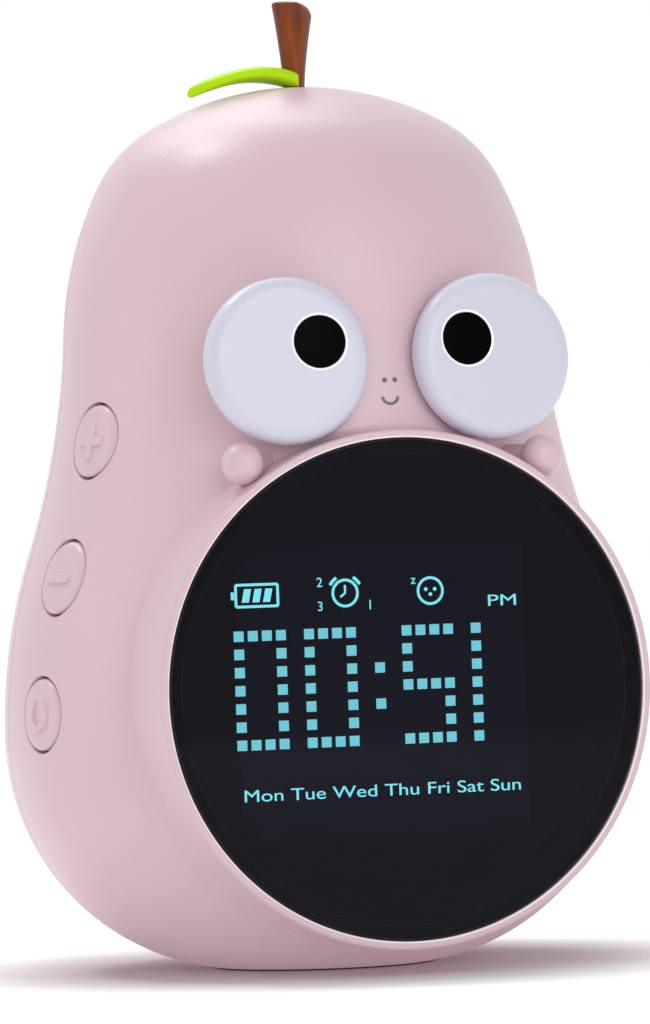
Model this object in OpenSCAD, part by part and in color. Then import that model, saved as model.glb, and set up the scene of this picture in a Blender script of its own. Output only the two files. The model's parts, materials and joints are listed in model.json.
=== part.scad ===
// Pear-shaped alarm clock with a night light, in millimetres.
// The origin is on the body's axis at the table. +Z is up and the face looks along -Y.

/* [Body outline] */
// Radius of the belly at its widest
belly_r = 50.2; // [48:0.1:53]
// Height of the widest place above the table
belly_z = 37.8; // [36:0.1:40]
// Radius of the arc under the belly
under_r = 38; // [37:0.1:41]
// Radius of the arc above the belly
flank_r = 94; // [84:1:104]
// Lean of the flank where it turns into the waist, in degrees
flank_a = 18.5; // [17:0.1:20]
// Radius of the hollow arc at the waist
waist_r = 134; // [120:1:150]
// Lean of the waist where the head starts, in degrees
waist_a = 3.2; // [2:0.1:5]
// Radius of the arc up the side of the head
head_r = 60; // [54:1:66]
// Lean of the head where the shoulder starts, in degrees
head_a = 26.5; // [24:0.5:30]
// Radius of the shoulder arc
shoulder_r = 21.6; // [18:0.2:25]
// Lean of the shoulder where the crown starts, in degrees
shoulder_a = 60.4; // [56:0.2:66]
// Thickness of the shell walls
wall = 2.2; // [1.8:0.1:2.6]
// Distance of the seam between the shells behind the axis
seam_y = 6; // [4:0.5:8]
// Width of the groove that shows at the seam
seam_gap = 0.25; // [0.1:0.05:0.5]
// Length of the tongue that lines up the shells
tongue_len = 1.6; // [1:0.1:2.5]

/* [Display] */
// Height of the display's centre
display_z = 44.6; // [42:0.2:47]
// Distance of the display's rim in front of the axis
display_reach = 44.7; // [43:0.1:47]
// Radius of the glass
lens_r = 39; // [37:0.1:40]
// Thickness of the glass
lens_t = 1.6; // [1:0.1:2.2]
// Depth of the glass below the rim
lens_sink = 0.3; // [0.1:0.1:0.8]
// Width of the rim round the glass
rim_w = 1.4; // [1.2:0.1:2]
// Radius on the outer edge of the rim
rim_round = 0.5; // [0.3:0.1:1.2]
// Width of the adhesive ring behind the glass
tape_w = 2.2; // [1.5:0.1:3]
// Thickness of the adhesive ring
tape_t = 0.4; // [0.2:0.1:0.6]
// Depth of the lit panel behind the glass
panel_depth = 10.4; // [8:0.2:12]
// Width and height of the lit panel
panel_size = [48, 46]; // [40:1:50]
// Thickness of the lit panel
panel_t = 3; // [2:0.5:4]

/* [Eyes] */
// Distance of each eye from the middle
eye_x = 17.1; // [16:0.1:19]
// Height of the eyes
eye_z = 96.3; // [95:0.1:99]
// Radius of an eye
eye_r = 13.1; // [11:0.1:13.4]
// Thickness of an eye's disc
eye_t = 3.6; // [2.5:0.1:4]
// Distance of the eyes' faces ahead of the head
eye_standoff = 3.9; // [3.8:0.1:6]
// Turn of each eye to its own side, in degrees
eye_splay = 4; // [0:0.5:6]
// Tilt of the eyes upwards, in degrees
eye_tilt = 5; // [0:0.5:8]
// Radius on the edge of an eye's face
eye_round = 2.4; // [0.5:0.1:2.6]
// Radius of the neck that carries an eye
neck_r = 8.5; // [7:0.1:9]
// Radius of a pupil
pupil_r = 4.1; // [3:0.1:5]
// Place of a pupil: towards the middle, and up
pupil_at = [4.9, 2.6]; // [0:0.1:6]
// Thickness of a pupil
pupil_t = 0.8; // [0.5:0.1:1.2]

/* [Hands] */
// Radius of a hand
hand_r = 3.3; // [2.5:0.1:3.6]
// Place of a hand: out from the middle, ahead of the axis, up
hand_at = [24.8, 40.9, 80.3]; // [20:0.1:90]
// Gap round a hand where the display's collar makes room for it
hand_gap = 0.25; // [0.1:0.05:0.4]
// Radius of the neck between a hand and the body
hand_neck_r = 2; // [1.8:0.1:2.4]
// Radius of the peg that holds a hand
hand_peg_r = 1.5; // [1:0.1:1.7]

/* [Stem and leaf] */
// Height of the stem above the body
stem_h = 13.9; // [10:0.1:18]
// Radii of the stem at its foot and at its top
stem_r = [1.7, 3.15]; // [1.4:0.05:4]
// Slant of the stem's top, in degrees
stem_slant = 9; // [0:1:25]
// Length of the leaf
leaf_len = 18.2; // [14:0.2:22]
// Width of the leaf
leaf_w = 8; // [6:0.2:10]
// Thickness of the leaf at its root and at its tip
leaf_t = [2.8, 1.9]; // [1:0.1:3]
// Rise of the leaf's back above its ends
leaf_rise = 1.3; // [1:0.1:2]
// Droop of the leaf's tip
leaf_droop = 2.3; // [1:0.1:3]
// Length by which the leaf's outline would run on past the stem
leaf_root = 4; // [3:0.5:5]
// Height of the leaf's peg above the crown
leaf_peg_z = 1.05; // [1:0.05:1.6]

/* [Buttons] */
// Radius of a button's cap
cap_r = 5.7; // [5:0.05:6.5]
// Gap round a cap
cap_gap = 0.3; // [0.15:0.05:0.4]
// Height of the caps above the body
cap_proud = 0.3; // [0:0.1:0.8]
// Distance of each button ahead of the axis, from the lowest up
button_y = [9.4, 10.5, 10.6]; // [9:0.1:12]
// Height of the lowest button
button_z = 42.2; // [41:0.2:44]
// Distance from one button to the next
button_pitch = 21.45; // [20:0.05:23]
// Travel of a button
travel = 0.5; // [0.3:0.1:0.8]
// Length of the bars in the plus and minus signs
sign_len = 5.8; // [4:0.2:7]
// Width of those bars
sign_w = 1.5; // [1:0.1:2.4]
// Height of the signs above the caps
sign_h = 0.4; // [0.2:0.1:0.6]

/* [Base] */
// Radius of the base cover
base_r = 18; // [17:0.1:19]
// Radii of the rubber ring that it stands on
foot_r = [10.6, 17.2]; // [9:0.1:18]
// Height of the body above the table
foot_proud = 0.6; // [0.4:0.1:1]

/* [Inside] */
// Thickness of the circuit boards
board_t = 1.6; // [1:0.1:2]
// Width and height of the main board
main_size = [64, 46]; // [60:1:66]
// Radius of the speaker
speaker_r = 16; // [14:0.5:17]
// Height of the speaker's centre
speaker_z = 77; // [76:0.5:79]
// Size of the battery: width, depth, height
battery_size = [46, 9, 30]; // [8:1:50]
// Height of the battery's lower end
battery_z = 24.5; // [24:0.5:26]
// Height of the charging socket's middle
socket_z = 18; // [17:0.5:19]
// Radius of the screws that join the shells
screw_r = 1.3; // [1:0.1:1.5]
// Radius of the small screws
small_screw_r = 0.9; // [0.7:0.1:1.1]
// Diameter of the leads
lead_d = 1.6; // [1:0.1:2]
// Width, depth and height of the clock's chip
chip_size = [12, 1.6, 12]; // [1:0.2:14]
// Width, depth and height of the sound chip
sound_chip_size = [8, 1.6, 5]; // [1:0.2:10]
// Radius and length of the buffer capacitor
capacitor_size = [3, 7]; // [2:0.5:8]
// Radius of the posts that take a small screw
post_r = 2.4; // [2.2:0.1:2.6]

/* [Hidden] */
$fn = 72;
pink = [0.87, 0.74, 0.78];
eps = 0.01;
reach = 2 * belly_r + 60;

// ---- The body's outline: six arcs, each tangent to the next ----
function dir(a) = [cos(a), sin(a)];
function arc(c, r, a0, a1, n) = [for (i = [0 : n]) c + r * dir(a0 + (a1 - a0) * i / n)];
under_c = [belly_r - under_r, belly_z];
flank_c = [belly_r - flank_r, belly_z];
waist_c = flank_c + (flank_r + waist_r) * dir(flank_a);
head_c = waist_c - (waist_r + head_r) * dir(waist_a);
shoulder_c = head_c + (head_r - shoulder_r) * dir(head_a);
crown_r = shoulder_r + shoulder_c[0] / cos(shoulder_a);
crown_c = [0, shoulder_c[1] - (crown_r - shoulder_r) * sin(shoulder_a)];
body_top = crown_c[1] + crown_r;
function under_start(inset) =
    asin(max(-1, (foot_proud + inset - belly_z) / (under_r - inset)));
function body_outline(inset) = concat(
    [[0, foot_proud + inset]],
    arc(under_c, under_r - inset, under_start(inset), 0, 10),
    arc(flank_c, flank_r - inset, 0, flank_a, 5),
    arc(waist_c, waist_r + inset, 180 + flank_a, 180 + waist_a, 5),
    arc(head_c, head_r - inset, waist_a, head_a, 5),
    arc(shoulder_c, shoulder_r - inset, head_a, shoulder_a, 6),
    [for (p = arc(crown_c, crown_r - inset, shoulder_a, 90, 6)) [max(p[0], 0), p[1]]]);
// Radius of the body, inset by t, at height z
function across(c, r, z) = sqrt(max(r * r - (z - c[1]) * (z - c[1]), 0));
function body_r(z, t = 0) =
    z < belly_z ? under_c[0] + across(under_c, under_r - t, z)
    : z < flank_c[1] + (flank_r - t) * sin(flank_a) ? flank_c[0] + across(flank_c, flank_r - t, z)
    : z < waist_c[1] - (waist_r + t) * sin(waist_a) ? waist_c[0] - across(waist_c, waist_r + t, z)
    : z < head_c[1] + (head_r - t) * sin(head_a) ? head_c[0] + across(head_c, head_r - t, z)
    : z < shoulder_c[1] + (shoulder_r - t) * sin(shoulder_a)
        ? shoulder_c[0] + across(shoulder_c, shoulder_r - t, z)
    : across(crown_c, crown_r - t, z);
// Distance in front of or behind the axis of the body's surface at x and z
function body_y(x, z, t = 0) = sqrt(max(pow(body_r(z, t), 2) - x * x, 0));

module body_solid(inset = 0) {
    rotate_extrude($fn = 120) polygon(body_outline(inset));
}
module ahead_of(y) {
    translate([-reach / 2, y - reach, -reach / 4]) cube(reach * [1, 1, 1.4]);
}
module behind(y) {
    translate([-reach / 2, y, -reach / 4]) cube(reach * [1, 1, 1.4]);
}
module tube(r_out, r_in, h) {
    difference() {
        cylinder(r = r_out, h = h);
        translate([0, 0, -eps]) cylinder(r = r_in, h = h + 2 * eps);
    }
}
// A rod along +Y from y0 to y1 at x and z
module rod_y(x, z, y0, y1, r) {
    translate([x, y0, z]) rotate([-90, 0, 0]) cylinder(r = r, h = y1 - y0);
}
// A pan-head screw: its head's underside is at the origin and its shank runs along -Z
module screw(r, len, head_h = 1.4) {
    cylinder(r = 2 * r, h = head_h);
    translate([0, 0, -len]) cylinder(r = r, h = len + eps);
}
module screw_drive(r, head_h = 1.4) {
    for (a = [0, 90])
        rotate([0, 0, a]) translate([-1.3 * r, -0.22 * r, head_h - 0.45 * r]) cube([2.6 * r, 0.44 * r, r]);
}
module cross_screw(r, len, head_h = 1.4) {
    difference() {
        screw(r, len, head_h);
        screw_drive(r, head_h);
    }
}

// ---- Places ----
screw_gap = 0.05;
// Radii of the holes that a small screw bites in and passes through
pilot_r = small_screw_r + screw_gap;
pass_r = small_screw_r + 0.15;
lens_gap = 0.1;
collar_r = lens_r + rim_w;
bore_r = collar_r - wall;
seat_r = lens_r - tape_w - 0.3;
seat_t = 1.8;
pocket_d = lens_sink + lens_t + tape_t;
frame_front = pocket_d - tape_t + 0.1;
panel_front = lens_sink + lens_t + panel_depth;
frame_plate_t = 1.8;
side_post_r = post_r - 0.2;
post_at = bore_r - side_post_r + 0.3;
sleeve_r = post_at - side_post_r - 0.15;
sleeve_t = 1;
// Local Z points at the viewer, and 0 is the plane of the rim's front
module at_display() {
    translate([0, -display_reach, display_z]) rotate([90, 0, 0]) children();
}
eye_y = body_r(eye_z) + eye_standoff;
neck_gap = 0.15;
boss_t = 1.5;
pupil_proud = 0.15;
// Local Z points out of the eye, and 0 is its face
module at_eye(side) {
    translate([side * eye_x, -eye_y, eye_z])
        rotate([90 - eye_tilt, 0, side * eye_splay]) children();
}
// Depth behind an eye's face at which its boss ends inside the shell
boss_end = eye_y - body_y(eye_x + neck_r + boss_t, eye_z, wall) + 1;
hand_a = atan2(hand_at[0], hand_at[1]);
hand_d = norm([hand_at[0], hand_at[1]]);
hand_seat = body_r(hand_at[2]) - 0.6;
// Local Z points out along the hand's peg, and 0 is the body's axis
module at_hand(side) {
    translate([0, 0, hand_at[2]]) rotate([90, 0, side * hand_a]) children();
}
flange_t = 1;
flange_r = cap_r + 1.5;
guide_t = 1.7;
guide_r = cap_r + cap_gap + guide_t;
function cap_z(i) = button_z + i * button_pitch;
// The guide round a cap ends inside the wall at its thinnest place
function guide_x(i) = body_y(button_y[i] + guide_r, cap_z(i) + (i == 0 ? 0 : guide_r), wall) - 0.4;
plunger_gap = 0.1;
plunger_r = 1.7;
plunger_in = 1;
plunger_show = travel + 0.4;
switch_h = 3.4;
switch_y = button_y[1];
switch_face = guide_x(2) - flange_t - 0.2 - plunger_show;
switch_board_x = switch_face - switch_h;
post_z = [cap_z(0) + button_pitch / 2, cap_z(1) + button_pitch / 2];
// Local Z points out of the button's face to the clock's left, and 0 is the body's axis
module at_button(i) {
    translate([0, -button_y[i], cap_z(i)]) rotate([0, -90, 0]) children();
}
shell_boss_r = 3.4;
shell_boss_z = [21, 111];
function shell_boss_x(z) = body_y(seam_y, z, wall) - shell_boss_r - 2.6;
shell_boss_at = [for (z = shell_boss_z, s = [-1, 1]) [s * shell_boss_x(z), z]];
head_seat_y = seam_y + 5;
base_t = 2;
base_gap = 0.15;
ledge_r = base_r - 4;
ledge_t = 2;
ledge_z = foot_proud + base_t;
base_screw_at = ledge_r + 0.4;
base_boss_h = 5;
ear_post_r = post_r + 0.2;
foot_t = 2 * foot_proud;
foot_gap = 0.1;
stem_peg_len = wall;
speaker_face = body_y(0, speaker_z + speaker_r, wall) - 1.8;
speaker_t = 2;
basket_r = speaker_r - 4;
surround_depth = 1;
clamp_t = 1.6;
clamp_ear = speaker_r + 4.6;
ear_at = [for (a = [90 : 120 : 330]) [clamp_ear * cos(a), speaker_z + clamp_ear * sin(a)]];
battery_y = body_y(battery_size[0] / 2, battery_z, wall) - battery_size[1] - 1.8;
battery_mid_z = battery_z + battery_size[2] / 2;
holder_t = 1.6;
holder_ear = battery_size[0] / 2 + holder_t + 3.2;
ear_r = 3;
socket_size = [8.94, 7.3, 3.2];
socket_y = body_y(0, socket_z) - 1.1;
power_z = socket_z - socket_size[2] / 2 - board_t;
power_size = [22, 15];
power_back = body_y(power_size[0] / 2, power_z, wall) - 0.6;
power_post_y = power_back - 10.5;
power_post_x = 8;
main_y = display_reach - panel_front - panel_t - board_t - 4;
main_post_at = [main_size[0] / 2 - 2.9, main_size[1] / 2 - 4];
back_y = main_y - board_t;

// ---- Shells ----
module seam_tongue() {
    intersection() {
        difference() {
            body_solid(wall / 2 + 0.1);
            body_solid(wall);
        }
        translate([-reach / 2, seam_y - eps, foot_proud + wall + ledge_t]) cube([reach, tongue_len, reach]);
    }
}
module front_bosses() {
    intersection() {
        union() {
            for (p = shell_boss_at)
                rod_y(p[0], p[1], -reach / 2, seam_y, shell_boss_r);
            for (z = post_z)
                translate([-switch_board_x, -switch_y, z]) rotate([0, -90, 0])
                    cylinder(r = post_r, h = reach / 2);
            for (i = [0 : 2])
                at_button(i) translate([0, 0, guide_x(i)]) cylinder(r = guide_r, h = reach / 2);
            for (s = [-1, 1])
                at_eye(s) translate([0, 0, -boss_end]) cylinder(r = neck_r + boss_t, h = boss_end);
        }
        body_solid(wall / 2);
        ahead_of(seam_y);
    }
}
module eye_stalks() {
    for (s = [-1, 1])
        at_eye(s) translate([0, 0, -boss_end]) cylinder(r = neck_r + boss_t, h = boss_end - eye_t - 0.3);
}
module base_ledge(front) {
    intersection() {
        union() {
            translate([0, 0, ledge_z]) cylinder(r = base_r + 3, h = ledge_t);
            for (a = [45 : 90 : 315])
                rotate([0, 0, a]) translate([base_screw_at, 0, ledge_z])
                    cylinder(r = ear_post_r, h = base_boss_h);
        }
        body_solid(wall / 2);
        if (front) ahead_of(seam_y);
        else behind(seam_y + seam_gap);
    }
}
module base_openings() {
    translate([0, 0, foot_proud - 1]) cylinder(r = base_r + base_gap, h = ledge_z - foot_proud + 1);
    translate([0, 0, ledge_z - eps]) cylinder(r = ledge_r - ear_post_r, h = ledge_t + 1);
    for (a = [45 : 90 : 315])
        rotate([0, 0, a]) translate([base_screw_at, 0, ledge_z - eps])
            cylinder(r = pilot_r, h = base_boss_h + 1);
}
module rim_edge() {
    at_display() rotate_extrude($fn = 120) difference() {
        translate([collar_r - rim_round, -rim_round]) square(rim_round + 1);
        translate([collar_r - rim_round, -rim_round]) circle(r = rim_round, $fn = 48);
    }
}
module display_opening() {
    at_display() {
        translate([0, 0, -pocket_d]) cylinder(r = lens_r + lens_gap, h = pocket_d + 1, $fn = 120);
        translate([0, 0, -pocket_d - seat_t - eps]) cylinder(r = seat_r, h = seat_t + 2 * eps, $fn = 120);
        difference() {
            translate([0, 0, -display_reach])
                cylinder(r = bore_r, h = display_reach - pocket_d - seat_t, $fn = 120);
            for (a = [0 : 90 : 270])
                rotate([0, 0, a]) translate([post_at, 0, -panel_front])
                    cylinder(r = side_post_r, h = panel_front);
        }
        for (a = [0 : 90 : 270])
            rotate([0, 0, a]) translate([post_at, 0, -panel_front - 1])
                cylinder(r = pilot_r, h = 7);
    }
}
module front_shell() {
    color(pink) difference() {
        union() {
            difference() {
                union() {
                    intersection() {
                        body_solid();
                        ahead_of(seam_y);
                    }
                    at_display() translate([0, 0, -display_reach / 2])
                        cylinder(r = collar_r, h = display_reach / 2, $fn = 120);
                    eye_stalks();
                }
                body_solid(wall);
                display_opening();
            }
            front_bosses();
            seam_tongue();
            base_ledge(true);
        }
        ahead_of(-display_reach);
        rim_edge();
        base_openings();
        for (s = [-1, 1]) {
            at_eye(s) translate([0, 0, -boss_end - 1]) cylinder(r = neck_r + neck_gap, h = boss_end + 20);
            at_hand(s) {
                cylinder(r = hand_peg_r + screw_gap, h = hand_d);
                translate([0, 0, hand_seat]) cylinder(r = hand_r + hand_gap, h = reach);
            }
        }
        for (i = [0 : 2])
            at_button(i) translate([0, 0, guide_x(i) - 1]) cylinder(r = cap_r + cap_gap, h = reach / 2);
        for (z = post_z)
            translate([-switch_board_x + 1, -switch_y, z]) rotate([0, -90, 0])
                cylinder(r = pilot_r, h = 7);
        for (p = shell_boss_at) rod_y(p[0], p[1], seam_y - 9, seam_y + 1, screw_r + screw_gap);
        translate([0, 0, body_top - wall - 3]) cylinder(r = stem_r[0] - 0.2, h = reach);
    }
}
module grille_holes() {
    for (ring = [0 : 3])
        for (k = [0 : max(6 * ring - 1, 0)])
            rod_y(3 * ring * cos(60 * k / max(ring, 1)), speaker_z + 3 * ring * sin(60 * k / max(ring, 1)),
                speaker_face + 1, reach / 2, 0.8);
}
module rear_posts() {
    intersection() {
        union() {
            for (p = shell_boss_at)
                rod_y(p[0], p[1], seam_y, reach / 2, shell_boss_r);
            difference() {
                rod_y(0, speaker_z, speaker_face, reach / 2, speaker_r + 1.8);
                rod_y(0, speaker_z, speaker_face - 1, reach / 2 + 1, speaker_r - 1.6);
            }
            for (p = ear_at) rod_y(p[0], p[1], speaker_face - speaker_t, reach / 2, ear_post_r);
            for (s = [-1, 1]) {
                rod_y(s * holder_ear, battery_mid_z, battery_y + holder_t, reach / 2, ear_post_r);
                translate([s * power_post_x, power_post_y, 0]) cylinder(r = post_r, h = power_z);
            }
        }
        body_solid(wall / 2);
        behind(seam_y);
    }
}
module rear_shell() {
    color(pink) difference() {
        union() {
            difference() {
                intersection() {
                    body_solid();
                    behind(seam_y + seam_gap);
                }
                body_solid(wall);
            }
            rear_posts();
            base_ledge(false);
        }
        // Room for the front shell's tongue
        intersection() {
            body_solid(wall / 2);
            difference() {
                translate([-reach / 2, seam_y - 1, -1]) cube([reach, tongue_len + 1.2, reach]);
                for (p = shell_boss_at) rod_y(p[0], p[1], seam_y - 2, seam_y + 5, shell_boss_r);
            }
        }
        base_openings();
        for (p = shell_boss_at) {
            rod_y(p[0], p[1], seam_y - 1, reach / 2, screw_r + 0.2);
            rod_y(p[0], p[1], head_seat_y, reach / 2, 2 * screw_r + 0.25);
        }
        grille_holes();
        for (p = ear_at)
            rod_y(p[0], p[1], speaker_face - speaker_t - 1, speaker_face + 1, pilot_r);
        for (s = [-1, 1]) {
            rod_y(s * holder_ear, battery_mid_z, battery_y, battery_y + 8, pilot_r);
            translate([s * power_post_x, power_post_y, power_z - 5]) cylinder(r = pilot_r, h = 6);
        }
        // Opening for the charging plug, with a flat-bottomed recess round it
        socket_slot(0.2, socket_y - 4, reach / 2);
        socket_slot(1.3, socket_y, reach / 2);
    }
}
module socket_slot(grow, y0, y1) {
    r = socket_size[2] / 2;
    half = socket_size[0] / 2 - r;
    for (s = [-1, 1]) rod_y(s * half, socket_z, y0, y1, r + grow);
    translate([-half, y0, socket_z - r - grow]) cube([2 * half, y1 - y0, 2 * (r + grow)]);
}

// ---- Base ----
module base_cover() {
    color(0.96 * pink) difference() {
        translate([0, 0, foot_proud]) cylinder(r = base_r, h = base_t);
        translate([0, 0, foot_proud - 1])
            tube(foot_r[1] + foot_gap, foot_r[0] - foot_gap, 1 + foot_t - foot_proud);
        for (a = [45 : 90 : 315])
            rotate([0, 0, a]) translate([base_screw_at, 0, foot_proud - 1]) {
                cylinder(r = pass_r, h = base_t + 2);
                cylinder(r = 2 * small_screw_r + 0.2, h = 2);
            }
    }
}
module foot_ring() {
    color([0.2, 0.2, 0.21]) difference() {
        tube(foot_r[1], foot_r[0], foot_t);
        for (a = [45 : 90 : 315])
            rotate([0, 0, a]) translate([base_screw_at, 0, -1])
                cylinder(r = 2 * small_screw_r + 0.4, h = foot_t + 2);
    }
}
module base_screws() {
    color("silver") for (a = [45 : 90 : 315])
        rotate([0, 0, a]) translate([base_screw_at, 0, foot_proud + 1]) rotate([180, 0, 0])
            cross_screw(small_screw_r, base_t + base_boss_h - 1.4, 0.8);
}

// ---- Display ----
module display_lens() {
    color([0.1, 0.1, 0.12]) at_display() translate([0, 0, -lens_sink - lens_t])
        cylinder(r = lens_r, h = lens_t, $fn = 120);
}
module lens_tape() {
    color([0.15, 0.15, 0.15]) at_display() translate([0, 0, -pocket_d])
        tube(lens_r, lens_r - tape_w, tape_t, $fn = 120);
}
module display_frame() {
    color([0.08, 0.08, 0.09]) at_display() difference() {
        union() {
            translate([0, 0, -panel_front]) tube(sleeve_r, sleeve_r - sleeve_t, panel_front - frame_front);
            translate([0, 0, -frame_front - 1]) tube(seat_r - 0.2, sleeve_r - sleeve_t, 1);
            translate([0, 0, -panel_front - frame_plate_t]) cylinder(r = bore_r - 0.3, h = frame_plate_t);
            for (s = [-1, 1], t = [-1, 1])
                translate([s * main_post_at[0], t * main_post_at[1], -display_reach + main_y])
                    cylinder(r = post_r, h = display_reach - main_y - panel_front - eps);
        }
        translate([-panel_size[0] / 2, -panel_size[1] / 2, -panel_front - frame_plate_t - 1])
            cube([panel_size[0], panel_size[1], frame_plate_t + 2]);
        for (a = [0 : 90 : 270])
            rotate([0, 0, a]) translate([post_at, 0, -panel_front - frame_plate_t - 1])
                cylinder(r = pass_r, h = frame_plate_t + 1.5);
        for (s = [-1, 1], t = [-1, 1])
            translate([s * main_post_at[0], t * main_post_at[1], -display_reach + main_y - 1])
                cylinder(r = pilot_r, h = 6);
    }
}
module display_panel() {
    color([0.1, 0.1, 0.15]) at_display()
        translate([0.15 - panel_size[0] / 2, 0.15 - panel_size[1] / 2, -panel_front - panel_t])
            cube([panel_size[0] - 0.3, panel_size[1] - 0.3, panel_t]);
}
module display_board() {
    rim = 1.6;
    color([0.1, 0.35, 0.2]) at_display()
        translate([-panel_size[0] / 2 - rim, -panel_size[1] / 2 - rim, -panel_front - panel_t - board_t])
            cube([panel_size[0] + 2 * rim, panel_size[1] + 2 * rim, board_t]);
}
module display_screws() {
    color("silver") at_display() for (a = [0 : 90 : 270])
        rotate([0, 0, a]) translate([post_at, 0, -panel_front - frame_plate_t]) rotate([180, 0, 0])
            cross_screw(small_screw_r, frame_plate_t + 5, 1);
}

// ---- Eyes ----
module eye(side) {
    cup_r = neck_r - 1.6;
    color([0.95, 0.95, 0.99]) at_eye(side) difference() {
        union() {
            rotate_extrude($fn = 120) {
                translate([0, -eye_t]) square([eye_r - eye_round, eye_t]);
                translate([0, -eye_t]) square([eye_r, eye_t - eye_round]);
                intersection() {
                    translate([0, -eye_t]) square([eye_r, eye_t]);
                    translate([eye_r - eye_round, -eye_round]) circle(r = eye_round, $fn = 48);
                }
            }
            translate([0, 0, -boss_end]) cylinder(r = neck_r, h = boss_end - eye_t + eps);
        }
        translate([0, 0, -boss_end - 1]) cylinder(r = cup_r, h = boss_end + 1 - 1.8);
        translate([-side * pupil_at[0], pupil_at[1], pupil_proud - pupil_t])
            cylinder(r = pupil_r + 0.05, h = pupil_t + 1);
    }
}
module pupil(side) {
    color([0.03, 0.03, 0.03]) at_eye(side)
        translate([-side * pupil_at[0], pupil_at[1], pupil_proud - pupil_t])
            cylinder(r = pupil_r, h = pupil_t);
}
module eye_light(side) {
    color([0.9, 0.9, 0.85]) at_eye(side) {
        translate([0, 0, -boss_end - 1]) cylinder(r = neck_r + boss_t - 0.3, h = 1);
        translate([-2.5, -2.5, -boss_end - eps]) cube([5, 5, 1.6]);
    }
}

// ---- Hands ----
module hand(side) {
    color(1.02 * pink) at_hand(side) {
        translate([0, 0, hand_d]) sphere(r = hand_r, $fn = 48);
        translate([0, 0, hand_seat]) cylinder(r = hand_neck_r, h = hand_d - hand_seat);
        translate([0, 0, hand_seat - wall - 1.4]) cylinder(r = hand_peg_r, h = wall + 2);
    }
}

// ---- Stem and leaf ----
function stem_radius(f) = stem_r[0] + (stem_r[1] - stem_r[0]) * pow(f, 1.4);
leaf_z = body_top + leaf_peg_z;
module stem() {
    color([0.52, 0.27, 0.13]) difference() {
        rotate_extrude() polygon(concat(
            [[0, body_top - stem_peg_len]],
            [[stem_r[0] - 0.3, body_top - stem_peg_len], [stem_r[0] - 0.3, body_top]],
            [for (i = [0 : 8]) [stem_radius(i / 8), body_top + stem_h * i / 8]],
            [[0, body_top + stem_h]]));
        translate([0, 0, body_top + stem_h - stem_r[1] * tan(stem_slant)]) rotate([0, stem_slant, 0])
            translate([-10, -10, 0]) cube(20);
        translate([0, 0, body_top - stem_peg_len - 1]) cylinder(r = pilot_r, h = stem_h * 0.6);
        translate([0, 0, leaf_z]) rotate([0, -90, 0]) cylinder(r = leaf_peg_r + screw_gap, h = 5, $fn = 32);
    }
}
leaf_peg_r = 0.6;
leaf_gap = 0.15;
// Side view of the leaf: its back is an arc, and its thickness falls to the tip
function leaf_back(f) = leaf_t[0] / 2 + leaf_rise * sin(180 * pow(f, 0.85)) - leaf_droop * f * f;
function leaf_thick(f) = leaf_t[0] + (leaf_t[1] - leaf_t[0]) * f;
module leaf() {
    n = 12;
    whole = leaf_len + leaf_root;
    bulge = (whole * whole + leaf_w * leaf_w) / (4 * leaf_w);
    color([0.69, 0.89, 0.06]) difference() {
        union() {
            intersection() {
                translate([0, leaf_w, leaf_z]) rotate([90, 0, 0]) linear_extrude(2 * leaf_w)
                    polygon(concat(
                        [for (i = [0 : n]) [-leaf_len * i / n, leaf_back(i / n)]],
                        [for (i = [n : -1 : 0]) [-leaf_len * i / n, leaf_back(i / n) - leaf_thick(i / n)]]));
                translate([0, 0, body_top - 10]) linear_extrude(30) intersection() {
                    translate([whole / 2 - leaf_len, bulge - leaf_w / 2]) circle(r = bulge, $fn = 120);
                    translate([whole / 2 - leaf_len, leaf_w / 2 - bulge]) circle(r = bulge, $fn = 120);
                    translate([-leaf_len, -leaf_w]) square([leaf_len, 2 * leaf_w]);
                }
            }
        }
        cylinder(r = stem_radius(0.25) + leaf_gap, h = reach);
        body_solid(-leaf_gap);
    }
    color([0.69, 0.89, 0.06]) translate([-0.9, 0, leaf_z]) rotate([0, -90, 0])
        cylinder(r = leaf_peg_r, h = 3, $fn = 32);
}
module stem_screw() {
    color("silver") translate([0, 0, body_top - wall - 2 * screw_gap]) rotate([180, 0, 0])
        cross_screw(small_screw_r, 7, 1.2);
}

// ---- Buttons ----
module bar(len, w) {
    translate([-w / 2, -len / 2, 0]) cube([w, len, reach]);
}
module button_cap(i) {
    color(pink) {
        difference() {
            intersection() {
                at_button(i) translate([0, 0, guide_x(i) - flange_t]) cylinder(r = cap_r, h = reach / 2);
                body_solid(-cap_proud);
            }
        }
        at_button(i) {
            translate([0, 0, guide_x(i) - flange_t - plunger_gap]) cylinder(r = flange_r, h = flange_t);
            translate([0, 0, switch_face + plunger_show])
                cylinder(r = 2.2, h = guide_x(i) - flange_t - switch_face - plunger_show);
        }
    }
}
module button_sign(i) {
    color(pink) intersection() {
        at_button(i) translate([0, 0, guide_x(i)]) children();
        difference() {
            body_solid(-cap_proud - sign_h);
            body_solid(-cap_proud + 0.2);
        }
    }
}
module button_plus() {
    button_cap(2);
    button_sign(2) {
        bar(sign_len, sign_w);
        rotate([0, 0, 90]) bar(sign_len, sign_w);
    }
}
module button_minus() {
    button_cap(1);
    button_sign(1) bar(sign_len, sign_w);
}
module button_mode() {
    button_cap(0);
    button_sign(0) difference() {
        cylinder(r = sign_len / 2, h = reach);
        translate([0.2 * sign_len, -0.22 * sign_len, -1]) cylinder(r = 0.42 * sign_len, h = reach + 2);
    }
}
module plunger(i) {
    color([0.15, 0.15, 0.15]) at_button(i)
        translate([0, 0, switch_face - plunger_in]) cylinder(r = plunger_r, h = plunger_in + plunger_show);
}
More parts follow.
